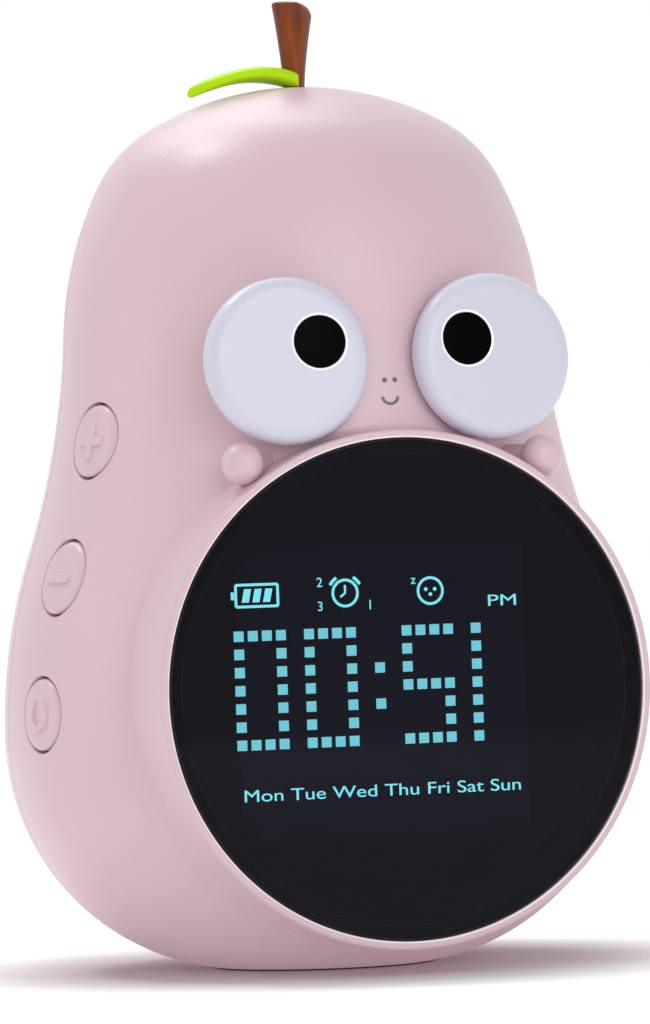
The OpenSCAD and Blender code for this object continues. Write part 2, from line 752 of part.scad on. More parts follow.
module switch_board() {
    low = cap_z(0) - 6;
    color([0.1, 0.35, 0.2]) difference() {
        translate([-switch_board_x, -switch_y - 7, low]) cube([board_t, 14, cap_z(2) + 6 - low]);
        for (z = post_z)
            translate([-switch_board_x - 1, -switch_y, z]) rotate([0, 90, 0])
                cylinder(r = pass_r, h = board_t + 2);
    }
}
module tact_switches() {
    color([0.3, 0.3, 0.32]) for (i = [0 : 2]) at_button(i) difference() {
        translate([-3, -3, switch_board_x]) cube([6, 6, switch_h]);
        translate([0, 0, switch_face - plunger_in - travel - 0.3]) cylinder(r = plunger_r + 0.1, h = 3);
    }
}
module switch_screws() {
    color("silver") for (z = post_z)
        translate([-switch_board_x + board_t, -switch_y, z]) rotate([0, 90, 0])
            cross_screw(small_screw_r, board_t + 5, 1);
}

// ---- Main board ----
module main_board() {
    color([0.1, 0.35, 0.2]) difference() {
        translate([-main_size[0] / 2, -main_y, display_z - main_size[1] / 2])
            cube([main_size[0], board_t, main_size[1]]);
        for (s = [-1, 1], t = [-1, 1])
            rod_y(s * main_post_at[0], display_z + t * main_post_at[1], -main_y - 1, -back_y + 1, pass_r);
    }
}
plug_size = [6, 5, 4.5];
eye_plug = [9, 17];
speaker_plug = [20, 10];
battery_plug = [20, -6];
switch_plug = [-20, 4];
power_plug = [6, -17];
sound_chip_at = [-20, -16];
capacitor_at = [-9, -13];
// A small plug on the back of the main board, centred at p
module board_plug(p) {
    translate([p[0] - plug_size[0] / 2, -back_y, display_z + p[1] - plug_size[2] / 2]) cube(plug_size);
}
module board_parts() {
    color([0.93, 0.92, 0.88])
        for (p = [[-eye_plug[0], eye_plug[1]], eye_plug, speaker_plug, battery_plug, switch_plug, power_plug])
            board_plug(p);
    color([0.12, 0.12, 0.13]) {
        translate([-chip_size[0] / 2, -back_y, display_z - chip_size[2] / 2]) cube(chip_size);
        translate([sound_chip_at[0], -back_y, display_z + sound_chip_at[1]]) cube(sound_chip_size);
        rod_y(capacitor_at[0], display_z + capacitor_at[1], -back_y, -back_y + capacitor_size[1],
            capacitor_size[0]);
    }
}
module board_screws() {
    color("silver") for (s = [-1, 1], t = [-1, 1])
        translate([s * main_post_at[0], -back_y, display_z + t * main_post_at[1]]) rotate([-90, 0, 0])
            cross_screw(small_screw_r, board_t + 4, 1);
}

// ---- Speaker ----
module speaker() {
    color([0.25, 0.25, 0.27]) difference() {
        union() {
            rod_y(0, speaker_z, speaker_face - speaker_t, speaker_face, speaker_r);
            rod_y(0, speaker_z, speaker_face - speaker_t - 3, speaker_face - speaker_t + eps, basket_r);
            rod_y(0, speaker_z, speaker_face - speaker_t - 6.5, speaker_face - speaker_t - 3 + eps, 8.5);
        }
        rod_y(0, speaker_z, speaker_face - surround_depth, speaker_face + 1, speaker_r - 1.5);
        rod_y(0, speaker_z, speaker_face - speaker_t - 2, speaker_face, basket_r - 1);
    }
}
module speaker_cone() {
    color([0.1, 0.1, 0.1]) translate([0, speaker_face - surround_depth, speaker_z]) rotate([-90, 0, 0])
        rotate_extrude() polygon([
            [0, -2], [4, -2], [basket_r - 1.5, 0], [speaker_r - 1.6, 0],
            [speaker_r - 1.6, 0.5], [basket_r - 1.8, 0.5], [4, -1.3], [0, -1.3]]);
}
module speaker_clamp() {
    y0 = speaker_face - speaker_t - clamp_t;
    color([0.75, 0.75, 0.77]) difference() {
        union() {
            rod_y(0, speaker_z, y0, y0 + clamp_t, speaker_r);
            for (p = ear_at) rod_y(p[0], p[1], y0, y0 + clamp_t, ear_r);
            for (a = [90 : 120 : 330])
                translate([0, y0, speaker_z]) rotate([0, -a, 0]) translate([0, 0, -ear_r])
                    cube([clamp_ear, clamp_t, 2 * ear_r]);
        }
        rod_y(0, speaker_z, y0 - 1, y0 + clamp_t + 1, basket_r + 0.3);
        for (p = ear_at) rod_y(p[0], p[1], y0 - 1, y0 + clamp_t + 1, pass_r);
    }
}
module speaker_screws() {
    color("silver") for (p = ear_at)
        translate([p[0], speaker_face - speaker_t - clamp_t, p[1]]) rotate([90, 0, 0])
            cross_screw(small_screw_r, clamp_t + 2.4, 1);
}

// ---- Battery ----
module battery() {
    color([0.35, 0.5, 0.75]) translate([-battery_size[0] / 2, battery_y, battery_z]) cube(battery_size);
}
module battery_holder() {
    mid_z = battery_mid_z;
    rim = 2 * holder_t + 0.4;
    outer = [battery_size[0] + rim, battery_size[1] * 0.6, battery_size[2] + rim];
    color([0.9, 0.9, 0.9]) difference() {
        union() {
            translate([-outer[0] / 2, battery_y - holder_t, mid_z - outer[2] / 2])
                cube([outer[0], outer[1] + holder_t, outer[2]]);
            for (s = [-1, 1]) rod_y(s * holder_ear, mid_z, battery_y, battery_y + holder_t, ear_r);
            translate([-holder_ear, battery_y, mid_z - ear_r]) cube([2 * holder_ear, holder_t, 2 * ear_r]);
        }
        translate([-battery_size[0] / 2 - 0.2, battery_y, mid_z - battery_size[2] / 2 - 0.2])
            cube([battery_size[0] + 0.4, outer[1] + 1, battery_size[2] + 0.4]);
        for (s = [-1, 1])
            rod_y(s * holder_ear, mid_z, battery_y - 1, battery_y + holder_t + 1, pass_r);
    }
}
module battery_screws() {
    color("silver") for (s = [-1, 1])
        translate([s * holder_ear, battery_y, battery_mid_z]) rotate([90, 0, 0])
            cross_screw(small_screw_r, holder_t + 5, 1);
}

// ---- Charging ----
module power_board() {
    color([0.1, 0.35, 0.2]) difference() {
        translate([-power_size[0] / 2, power_back - power_size[1], power_z])
            cube([power_size[0], power_size[1], board_t]);
        for (s = [-1, 1])
            translate([s * power_post_x, power_post_y, power_z - 1]) cylinder(r = pass_r, h = board_t + 2);
    }
}
module usb_socket() {
    color("silver") difference() {
        intersection() {
            socket_slot(0, socket_y - socket_size[1], socket_y);
            translate([-20, 0, power_z + board_t]) cube([40, reach, 20]);
        }
        socket_slot(-0.35, socket_y - socket_size[1] + 1, socket_y + 1);
    }
    color([0.1, 0.1, 0.1]) translate([-3.3, socket_y - socket_size[1] + 1 - eps, socket_z - 0.35])
        cube([6.6, 4.6, 0.7]);
}
module power_screws() {
    color("silver") for (s = [-1, 1])
        translate([s * power_post_x, power_post_y, power_z + board_t])
            cross_screw(small_screw_r, board_t + 4, 1);
}

// ---- Screws of the shells ----
module shell_screws() {
    color("silver") for (p = shell_boss_at)
        translate([p[0], head_seat_y, p[1]]) rotate([-90, 0, 0])
            cross_screw(screw_r, head_seat_y - seam_y + 8, 1.8);
}

// ---- Leads: round wires along straight runs ----
module run(a, b) {
    d = b - a;
    translate(a) rotate([0, acos(d[2] / norm(d)), atan2(d[1], d[0])])
        cylinder(r = lead_d / 2, h = norm(d), $fn = 24);
}
module lead(points) {
    for (i = [0 : len(points) - 2]) run(points[i], points[i + 1]);
    for (i = [1 : len(points) - 2]) translate(points[i]) sphere(r = lead_d / 2 + 0.1, $fn = 24);
}
plug_back = -back_y + plug_size[1];
function on_plug(p) = [p[0], plug_back, display_z + p[1]];
// The place behind an eye at depth d along its axis
function behind_eye(side, d) = [
    side * (eye_x - d * sin(eye_splay) * cos(eye_tilt)),
    -eye_y + d * cos(eye_splay) * cos(eye_tilt),
    eye_z - d * sin(eye_tilt)];
module eye_lead(side) {
    start = behind_eye(side, boss_end + 1);
    turn = behind_eye(side, boss_end + 6);
    plug = on_plug([side * eye_plug[0], eye_plug[1]]);
    color([0.9, 0.9, 0.9]) lead([start, turn, plug + [0, 5, 0], plug]);
}
module speaker_lead() {
    plug = on_plug(speaker_plug);
    y1 = speaker_face - speaker_t - 6.5;
    color([0.8, 0.15, 0.12]) lead([
        plug, plug + [0, 4, 0], [12, y1 - 8, speaker_z - 8], [4, y1 - 4, speaker_z], [4, y1, speaker_z]]);
}
module battery_lead() {
    plug = on_plug(battery_plug);
    y1 = battery_y - holder_t;
    color([0.15, 0.15, 0.16]) lead([
        plug, plug + [0, 6, 0], [16, y1 - 5, battery_z + 16], [16, y1, battery_z + 16]]);
}
module switch_lead() {
    plug = on_plug(switch_plug);
    x1 = -switch_board_x + board_t;
    z1 = display_z + switch_plug[1] - 3;
    color([0.9, 0.9, 0.9]) lead([plug, plug + [0, 3, 0], [x1 + 3, -switch_y, z1], [x1, -switch_y, z1]]);
}
module power_lead() {
    plug = on_plug(power_plug);
    top = power_z + board_t;
    y1 = power_back - power_size[1] + 1.5;
    color([0.8, 0.15, 0.12]) lead([plug, plug + [0, 5, 0], [2, y1, top + 4], [2, y1, top]]);
}

front_shell();
rear_shell();
base_cover();
foot_ring();
display_lens();
lens_tape();
display_frame();
display_panel();
display_board();
display_screws();
eye(-1);  // eye_left
eye(1);  // eye_right
pupil(-1);  // pupil_left
pupil(1);  // pupil_right
eye_light(-1);  // eye_light_left
eye_light(1);  // eye_light_right
hand(-1);  // hand_left
hand(1);  // hand_right
stem();
leaf();
stem_screw();
button_plus();
button_minus();
button_mode();
plunger(2);  // plunger_plus
plunger(1);  // plunger_minus
plunger(0);  // plunger_mode
switch_board();
tact_switches();
switch_screws();
main_board();
board_parts();
board_screws();
speaker();
speaker_cone();
speaker_clamp();
speaker_screws();
battery();
battery_holder();
battery_screws();
power_board();
usb_socket();
power_screws();
shell_screws();
base_screws();
eye_lead(-1);  // eye_lead_left
eye_lead(1);  // eye_lead_right
speaker_lead();
battery_lead();
switch_lead();
power_lead();
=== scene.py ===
# %% [markdown]
# # A pear-shaped alarm clock with a night light
#
# The clock is moulded in pale pink satin plastic. Two shells meet at a seam just behind the middle,
# a round smoked window looks out of the front shell, and two milky discs on short necks glow as a
# night light. The construction is already packed, piece by piece and at its real size. This lesson
# loads it, leaves every piece where it is, and gives the visible ones a finer mesh and a finish.

# %% Load the construction
import json
import math

import bmesh
import bpy
import numpy as np
from mathutils import Matrix, Vector


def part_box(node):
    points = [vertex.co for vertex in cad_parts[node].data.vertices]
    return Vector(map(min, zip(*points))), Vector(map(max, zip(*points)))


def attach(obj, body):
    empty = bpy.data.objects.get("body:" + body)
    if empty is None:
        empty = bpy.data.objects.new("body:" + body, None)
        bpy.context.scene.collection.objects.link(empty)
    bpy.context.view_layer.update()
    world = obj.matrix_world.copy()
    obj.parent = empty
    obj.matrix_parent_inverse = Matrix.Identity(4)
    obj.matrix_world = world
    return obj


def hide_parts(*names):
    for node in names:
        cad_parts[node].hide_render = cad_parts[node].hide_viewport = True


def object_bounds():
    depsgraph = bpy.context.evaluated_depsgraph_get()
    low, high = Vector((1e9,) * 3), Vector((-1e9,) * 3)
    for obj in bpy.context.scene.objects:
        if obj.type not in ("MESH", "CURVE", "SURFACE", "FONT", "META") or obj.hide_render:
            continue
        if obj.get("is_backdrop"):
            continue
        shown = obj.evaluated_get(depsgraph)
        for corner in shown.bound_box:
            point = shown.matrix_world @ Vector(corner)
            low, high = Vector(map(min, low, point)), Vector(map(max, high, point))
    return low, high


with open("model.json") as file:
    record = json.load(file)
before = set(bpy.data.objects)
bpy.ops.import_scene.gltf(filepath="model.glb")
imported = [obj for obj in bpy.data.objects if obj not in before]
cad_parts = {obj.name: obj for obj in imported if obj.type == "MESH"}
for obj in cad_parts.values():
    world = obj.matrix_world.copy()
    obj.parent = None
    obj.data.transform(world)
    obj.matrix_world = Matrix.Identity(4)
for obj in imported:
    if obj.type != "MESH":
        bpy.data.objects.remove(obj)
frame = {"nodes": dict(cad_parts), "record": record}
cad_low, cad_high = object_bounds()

MM = 0.001
scene = bpy.context.scene
scene.view_settings.view_transform = "Standard"
print("pieces:", len(frame["nodes"]), " size in mm:", [round(s / MM, 1) for s in cad_high - cad_low])

# %% [markdown]
# The camera comes first, because the match with the photograph depends on it. The clock was
# taken from its left, a little more than a metre away and level with its middle, through a long lens.
# Writing the turn, the pitch and the roll as angles keeps the place readable.

# %% Place the camera
CAMERA_PLACE = Vector((-344.8, -990.4, 64.6)) * MM
CAMERA_TURN = math.radians(19.34)
CAMERA_PITCH = math.radians(0.45)
CAMERA_ROLL = math.radians(-1.97)
CAMERA_LENS = 228.2

camera = bpy.data.objects.new("camera", bpy.data.cameras.new("camera"))
camera.data.lens = CAMERA_LENS
camera.matrix_world = (
    Matrix.Translation(CAMERA_PLACE)
    @ Matrix.Rotation(-CAMERA_TURN, 4, "Z")
    @ Matrix.Rotation(math.pi / 2 + CAMERA_PITCH, 4, "X")
    @ Matrix.Rotation(CAMERA_ROLL, 4, "Z")
)
scene.collection.objects.link(camera)
scene.camera = camera
print("camera distance in m:", round(CAMERA_PLACE.length, 3))

# %% [markdown]
# ## The drawing
#
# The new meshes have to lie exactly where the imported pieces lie, so this cell repeats the few sizes
# of the drawing that they need, in millimetres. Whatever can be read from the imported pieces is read.

# %% Sizes
BELLY_R, BELLY_Z, UNDER_R = 50.2, 37.8, 38.0
FLANK_R, FLANK_LEAN = 94.0, 18.5
WAIST_R, WAIST_LEAN = 134.0, 3.2
HEAD_R, HEAD_LEAN = 60.0, 26.5
SHOULDER_R, SHOULDER_LEAN = 21.6, 60.4
WALL = 2.2
SEAM_Y, SEAM_GAP, TONGUE = 6.0, 0.25, 1.6


def box_mm(node):
    """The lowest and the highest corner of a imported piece, in mm."""
    low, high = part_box(node)
    return np.array(low) / MM, np.array(high) / MM


lens_low, lens_high = box_mm("display_lens")
LENS_R = (lens_high[0] - lens_low[0]) / 2
DISPLAY_Z = (lens_high[2] + lens_low[2]) / 2
DISPLAY_Y = box_mm("front_shell")[0][1]
print("window radius, height, rim plane:", round(LENS_R, 2), round(DISPLAY_Z, 2), round(DISPLAY_Y, 2))

# %% [markdown]
# The pear's outline is six arcs, each tangent to the next: under the belly, up the flank, round the
# hollow waist, up the head, over the shoulder and across the crown. From their centres follows the
# radius at any height. Moving the skin inwards only changes the arcs' radii, so one function
# describes the outside, the inside of the wall, and the slightly raised faces of the buttons.

# %% The skin of the pear


def arm(degrees):
    return np.array([math.cos(math.radians(degrees)), math.sin(math.radians(degrees))])


under_c = np.array([BELLY_R - UNDER_R, BELLY_Z])
flank_c = np.array([BELLY_R - FLANK_R, BELLY_Z])
waist_c = flank_c + (FLANK_R + WAIST_R) * arm(FLANK_LEAN)
head_c = waist_c - (WAIST_R + HEAD_R) * arm(WAIST_LEAN)
shoulder_c = head_c + (HEAD_R - SHOULDER_R) * arm(HEAD_LEAN)
CROWN_R = SHOULDER_R + shoulder_c[0] / arm(SHOULDER_LEAN)[0]
crown_c = np.array([0.0, shoulder_c[1] - (CROWN_R - SHOULDER_R) * arm(SHOULDER_LEAN)[1]])
BODY_TOP = crown_c[1] + CROWN_R


def across(centre, radius, z):
    return np.sqrt(np.maximum(radius**2 - (z - centre[1]) ** 2, 0.0))


def skin_r(z, inset=0.0):
    """Radius of the pear at height z, with its skin moved inwards by inset."""
    z = np.asarray(z, float)
    stops = [
        BELLY_Z,
        flank_c[1] + (FLANK_R - inset) * arm(FLANK_LEAN)[1],
        waist_c[1] - (WAIST_R + inset) * arm(WAIST_LEAN)[1],
        head_c[1] + (HEAD_R - inset) * arm(HEAD_LEAN)[1],
        shoulder_c[1] + (SHOULDER_R - inset) * arm(SHOULDER_LEAN)[1],
    ]
    radii = [
        under_c[0] + across(under_c, UNDER_R - inset, z),
        flank_c[0] + across(flank_c, FLANK_R - inset, z),
        waist_c[0] - across(waist_c, WAIST_R + inset, z),
        head_c[0] + across(head_c, HEAD_R - inset, z),
        shoulder_c[0] + across(shoulder_c, SHOULDER_R - inset, z),
    ]
    return np.select([z < stop for stop in stops], radii, across(crown_c, CROWN_R - inset, z))


def skin_normal(points, inset=0.0):
    """The outward direction of the skin at points that lie on it."""
    step = 0.02
    slope = (skin_r(points[..., 2] + step, inset) - skin_r(points[..., 2] - step, inset)) / (2 * step)
    flat = np.hypot(points[..., 0], points[..., 1])
    normal = np.stack([points[..., 0] / flat, points[..., 1] / flat, -slope], -1)
    return normal / np.linalg.norm(normal, axis=-1, keepdims=True)


def beside(side, a, b, inset=0.0):
    """The skin seen straight from one side: from the left at (y, z), from the front or back at (x, z)."""
    a, b = np.broadcast_arrays(np.asarray(a, float), np.asarray(b, float))
    depth = np.sqrt(np.maximum(skin_r(b, inset) ** 2 - a**2, 0.0))
    if side == "left":
        return np.stack([-depth, a, b], -1)
    return np.stack([a, depth if side == "back" else -depth, b], -1)


print("pear is", round(2 * BELLY_R, 1), "mm across and", round(BODY_TOP, 1), "mm high")

# %% [markdown]
# ## Making meshes
#
# Nearly every piece is a stack of rings: a lathe turns them, a fillet bends them, and a shell wraps
# them. So one function turns a list of rings into a closed mesh. A ring of one point is a pole.
# A second one turns a corner outline with a radius at each corner into a smooth profile.

# %% Ring meshes


def mesh_from_rings(name, rings, wrap=False):
    """A closed mesh in metres from rings of points in mm; wrap also joins the last ring to the first."""
    points, starts = [], []
    for ring in rings:
        starts.append(len(points))
        points.extend(np.asarray(ring, float).reshape(-1, 3) * MM)
    sizes = [np.asarray(ring).reshape(-1, 3).shape[0] for ring in rings]
    pairs = [(i, i + 1) for i in range(len(rings) - 1)]
    if wrap:
        pairs.append((len(rings) - 1, 0))
    faces = []
    for i, j in pairs:
        a, b, n = starts[i], starts[j], max(sizes[i], sizes[j])
        for k in range(n):
            m = (k + 1) % n
            if sizes[i] == 1:
                faces.append((a, b + m, b + k))
            elif sizes[j] == 1:
                faces.append((a + k, a + m, b))
            else:
                faces.append((a + k, a + m, b + m, b + k))
    mesh = bpy.data.meshes.new(name)
    mesh.from_pydata([tuple(p) for p in points], [], faces)
    outward(mesh)
    return mesh


def outward(mesh):
    """Turns every face of a closed mesh to look outwards."""
    work = bmesh.new()
    work.from_mesh(mesh)
    bmesh.ops.recalc_face_normals(work, faces=work.faces)
    work.to_mesh(mesh)
    work.free()


def rounded(corners, steps=8):
    """An open outline with round corners, from (a, b, radius) at each corner."""
    line = [np.array(corners[0][:2], float)]
    for before, corner, after in zip(corners, corners[1:], corners[2:]):
        here, radius = np.array(corner[:2], float), corner[2]
        if radius == 0:
            line.append(here)
            continue
        back = np.array(before[:2], float) - here
        on = np.array(after[:2], float) - here
        back, on = back / np.linalg.norm(back), on / np.linalg.norm(on)
        half = math.acos(np.clip(back @ on, -1, 1)) / 2
        centre = here + (back + on) / np.linalg.norm(back + on) * radius / math.sin(half)
        start = here + back * radius / math.tan(half) - centre
        end = here + on * radius / math.tan(half) - centre
        sweep = math.pi - 2 * half
        for i in range(steps + 1):
            t = i / steps
            weights = math.sin((1 - t) * sweep), math.sin(t * sweep)
            line.append(centre + (weights[0] * start + weights[1] * end) / math.sin(sweep))
    line.append(np.array(corners[-1][:2], float))
    return line


def lathe(name, outline, place, steps=160):
    """Turns an outline of (radius, height) about the local Z of a place, from axis to axis."""
    turn = np.linspace(0, 2 * math.pi, steps, endpoint=False)
    rings = []
    for radius, height in outline:
        count = turn[:1] if radius < 1e-9 else turn
        ring = np.stack([radius * np.cos(count), radius * np.sin(count), np.full(len(count), height)], -1)
        rings.append(put(place, ring))
    return mesh_from_rings(name, rings)


def put(place, points):
    """Points in mm moved by a place, which is a 4 by 4 matrix in mm."""
    place = np.array(place)
    return np.asarray(points) @ place[:3, :3].T + place[:3, 3]


# %% [markdown]
# A mesh becomes a piece once it rides on a body, stands for the imported pieces that it refines, and
# takes the finish it is given. Shading is smooth across gentle turns, and an edge that
# turns by more than the given angle stays crisp.

# %% Pieces
CRISP_ANGLE = 38


def make_piece(name, mesh, body, finish, replaces=(), crisp=CRISP_ANGLE):
    piece = bpy.data.objects.new(name, mesh)
    scene.collection.objects.link(piece)
    mesh.materials.clear()
    for material in finish if isinstance(finish, (list, tuple)) else [finish]:
        mesh.materials.append(material)
    mesh.polygons.foreach_set("material_index", [0] * len(mesh.polygons))
    mesh.shade_smooth()
    mesh.set_sharp_from_angle(angle=math.radians(crisp))
    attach(piece, body)
    if replaces:
        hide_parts(*replaces)
    print(f"{name}: {len(mesh.polygons)} faces")
    return piece


def carve(mesh, tool, operation="DIFFERENCE"):
    """The mesh after a solid is taken from it or joined to it. Both have to be closed."""
    piece = bpy.data.objects.new("carved", mesh)
    cutter = bpy.data.objects.new("tool", tool)
    scene.collection.objects.link(piece)
    scene.collection.objects.link(cutter)
    change = piece.modifiers.new("carve", "BOOLEAN")
    change.operation = operation
    change.solver = "MANIFOLD"
    change.object = cutter
    graph = bpy.context.evaluated_depsgraph_get()
    made = bpy.data.meshes.new_from_object(piece.evaluated_get(graph))
    bpy.data.objects.remove(piece)
    bpy.data.objects.remove(cutter)
    return made


# %% [markdown]
# Holes and buttons go straight in from one side, but their edges follow the curved skin. A plug is a
# stack of round rings: a ring either lies on the skin, moved inwards by some inset, or flat at a depth.

# %% Plugs that follow the skin


def plug(name, side, centre, rows, steps=96):
    """A round solid seen from one side, with rows of (radius, inset, None) or (radius, None, depth)."""
    turn = np.linspace(0, 2 * math.pi, steps, endpoint=False)
    rings = []
    for radius, inset, depth in rows:
        count = turn[:1] if radius == 0 else turn
        a = centre[0] + radius * np.cos(count)
        b = centre[1] + radius * np.sin(count)
        ring = beside(side, a, b, inset or 0.0)
        if depth is not None:
            ring[:, 0 if side == "left" else 1] = depth
        rings.append(ring)
    return mesh_from_rings(name, rings)


def hole_rows(radius, floor, edge, over, flare, out):
    """The rows of a plug that cuts a hole down to a floor and takes off its edge at the skin."""
    rows = [(0, None, floor), (radius, None, floor), (radius, edge, None)]
    return rows + [(radius + edge, -over, None), (radius + flare, -out, None), (0, -out, None)]


# %% [markdown]
# ## Finishes
#
# Moulded plastic isn't one flat colour. The tool's surface leaves a fine grain, the colour drifts a
# little across a big part, and handling polishes it unevenly. These effects are needed by the shells,
# the discs, the stem and the parts inside, so each is a node group with its own inputs.

# %% Shared node groups


def paint(red, green, blue):
    """A colour as a screen shows it, 0 to 255, as the linear colour that a shader takes."""
    channels = [c / 255 for c in (red, green, blue)]
    linear = [c / 12.92 if c <= 0.04045 else ((c + 0.055) / 1.055) ** 2.4 for c in channels]
    return (*linear, 1.0)


def start_group(name, inputs, outputs):
    """An empty shader group. inputs are (name, kind, default) and outputs are (name, kind)."""
    group = bpy.data.node_groups.new(name, "ShaderNodeTree")
    for label, kind, value in inputs:
        socket = group.interface.new_socket(label, in_out="INPUT", socket_type=f"NodeSocket{kind}")
        socket.default_value = value
    for label, kind in outputs:
        group.interface.new_socket(label, in_out="OUTPUT", socket_type=f"NodeSocket{kind}")
    return group, group.nodes.new("NodeGroupInput"), group.nodes.new("NodeGroupOutput")


def math_node(tree, operation, *values):
    """A math node whose inputs are numbers or sockets; gives its output."""
    node = tree.nodes.new("ShaderNodeMath")
    node.operation = operation
    for socket, value in zip(node.inputs, values):
        if isinstance(value, bpy.types.NodeSocket):
            tree.links.new(value, socket)
        else:
            socket.default_value = value
    return node.outputs[0]


def noise_node(tree, size, detail=2.0, rough=0.5):
    """Noise in the piece's own space whose lumps are about size metres across; gives its output."""
    place = tree.nodes.new("ShaderNodeTexCoord")
    node = tree.nodes.new("ShaderNodeTexNoise")
    tree.links.new(place.outputs["Object"], node.inputs["Vector"])
    node.inputs["Detail"].default_value = detail
    node.inputs["Roughness"].default_value = rough
    if isinstance(size, bpy.types.NodeSocket):
        tree.links.new(math_node(tree, "DIVIDE", 1.0, size), node.inputs["Scale"])
    else:
        node.inputs["Scale"].default_value = 1.0 / size
    return node.outputs["Fac"]


def make_grain():
    """Mould grain: a height for the bump, a drifting colour and an uneven polish."""
    group, given, made = start_group(
        "mould_grain",
        [
            ("Colour", "Color", (0.8, 0.8, 0.8, 1)),
            ("Grain Size", "Float", 0.0004),
            ("Drift", "Float", 0.04),
            ("Polish", "Float", 0.4),
            ("Polish Spread", "Float", 0.1),
        ],
        [("Colour", "Color"), ("Roughness", "Float"), ("Height", "Float")],
    )
    fine = noise_node(group, given.outputs["Grain Size"], 2.0, 0.6)
    broad = noise_node(group, 0.035, 2.0, 0.5)
    swing = math_node(group, "SUBTRACT", broad, 0.5)
    fleck = math_node(group, "MULTIPLY", math_node(group, "SUBTRACT", fine, 0.5), 0.5)
    shift = math_node(group, "MULTIPLY", math_node(group, "ADD", swing, fleck), given.outputs["Drift"])
    level = math_node(group, "ADD", shift, 1.0)
    tint = group.nodes.new("ShaderNodeVectorMath")
    tint.operation = "SCALE"
    group.links.new(given.outputs["Colour"], tint.inputs[0])
    group.links.new(level, tint.inputs["Scale"])
    group.links.new(tint.outputs["Vector"], made.inputs["Colour"])
    spread = math_node(group, "MULTIPLY", swing, given.outputs["Polish Spread"])
    group.links.new(math_node(group, "ADD", given.outputs["Polish"], spread), made.inputs["Roughness"])
    group.links.new(fine, made.inputs["Height"])
    return group


GRAIN = make_grain()
print("groups:", [group.name for group in bpy.data.node_groups])

# %% [markdown]
# Each finish is then one material: the group's outputs drive the colour, the roughness and a bump,
# and what is the same all over is set on the shader itself.

# %% Moulded finishes


def moulded(name, colour, polish, grain=0.0004, depth=0.000012, drift=0.04, spread=0.1, **sockets):
    """A moulded or painted surface with grain; sockets are set on the shader by name."""
    material = bpy.data.materials.new(name)
    material.use_nodes = True
    tree = material.node_tree
    shader = tree.nodes["Principled BSDF"]
    group = tree.nodes.new("ShaderNodeGroup")
    group.node_tree = GRAIN
    group.inputs["Colour"].default_value = colour
    group.inputs["Grain Size"].default_value = grain
    group.inputs["Drift"].default_value = drift
    group.inputs["Polish"].default_value = polish
    group.inputs["Polish Spread"].default_value = spread
    bump = tree.nodes.new("ShaderNodeBump")
    bump.inputs["Distance"].default_value = depth
    bump.inputs["Strength"].default_value = 1.0
    tree.links.new(group.outputs["Height"], bump.inputs["Height"])
    tree.links.new(group.outputs["Colour"], shader.inputs["Base Color"])
    tree.links.new(group.outputs["Roughness"], shader.inputs["Roughness"])
    tree.links.new(bump.outputs["Normal"], shader.inputs["Normal"])
    for label, value in sockets.items():
        shader.inputs[label.replace("_", " ")].default_value = value
    return material


PINK = paint(227, 198, 207)
shell_plastic = moulded(
    "shell_plastic", PINK, 0.35, grain=0.0003, depth=0.00004, drift=0.03, Specular_IOR_Level=0.7
)
dark_rubber = moulded("dark_rubber", paint(58, 58, 60), 0.8, grain=0.0006, depth=0.00003)
black_plastic = moulded("black_plastic", paint(16, 16, 18), 0.6)
milky_plastic = moulded("milky_plastic", paint(223, 224, 242), 0.3, depth=0.000004, drift=0.015)
# painted highlight: a lighter milky colour that gives off light, for the bright ring round each pupil
milky_painted_glow = moulded("milky_painted_glow", paint(240, 240, 248), 0.3, depth=0.000004, Emission_Strength=0.35)
# painted highlight: a near-white colour with a little light of its own, for the thin bright line round the
# window
chamfer_painted_highlight = moulded("chamfer_painted_highlight", paint(250, 240, 244), 0.22, depth=0.000004, Emission_Strength=0.12)
pupil_plastic = moulded("pupil_plastic", paint(4, 4, 5), 0.3, depth=0.000004, Specular_IOR_Level=0.02)
face_ink = moulded("face_ink", paint(120, 112, 118), 0.5, depth=0.000004)
leaf_plastic = moulded(
    "leaf_plastic", paint(192, 248, 2), 0.4, grain=0.0006, drift=0.06, Specular_IOR_Level=0.25
)
STEM_DARK, STEM_LIGHT = paint(78, 30, 4), paint(150, 67, 9)
STREAKS_PER_METRE = (420.0, 420.0, 45.0)
stem_plastic = moulded("stem_plastic", STEM_LIGHT, 0.36, 0.0008, drift=0.35, Specular_IOR_Level=0.3)


def streak(material, dark, light):
    """Long vertical streaks between two colours, as in a moulded imitation of wood."""
    tree = material.node_tree
    place = tree.nodes.new("ShaderNodeTexCoord")
    squeeze = tree.nodes.new("ShaderNodeMapping")
    squeeze.inputs["Scale"].default_value = STREAKS_PER_METRE
    noise = tree.nodes.new("ShaderNodeTexNoise")
    noise.inputs["Scale"].default_value = 1.0
    noise.inputs["Detail"].default_value = 3.0
    tree.links.new(place.outputs["Object"], squeeze.inputs["Vector"])
    tree.links.new(squeeze.outputs["Vector"], noise.inputs["Vector"])
    spread = math_node(tree, "MULTIPLY_ADD", noise.outputs["Fac"], 3.0, -1.0)
    share = math_node(tree, "MINIMUM", math_node(tree, "MAXIMUM", spread, 0.0), 1.0)
    blend = tree.nodes.new("ShaderNodeMix")
    blend.data_type = "RGBA"
    tree.links.new(share, blend.inputs[0])
    blend.inputs[6].default_value = dark
    blend.inputs[7].default_value = light
    group = next(node for node in tree.nodes if node.type == "GROUP")
    tree.links.new(blend.outputs[2], group.inputs["Colour"])


streak(stem_plastic, STEM_DARK, STEM_LIGHT)
print("materials:", len(bpy.data.materials))

# %% [markdown]
# The parts inside hardly show, but each still has the finish it has on a bench: green boards, zinc
# screws, a sleeved cell, and soft insulation on the leads.

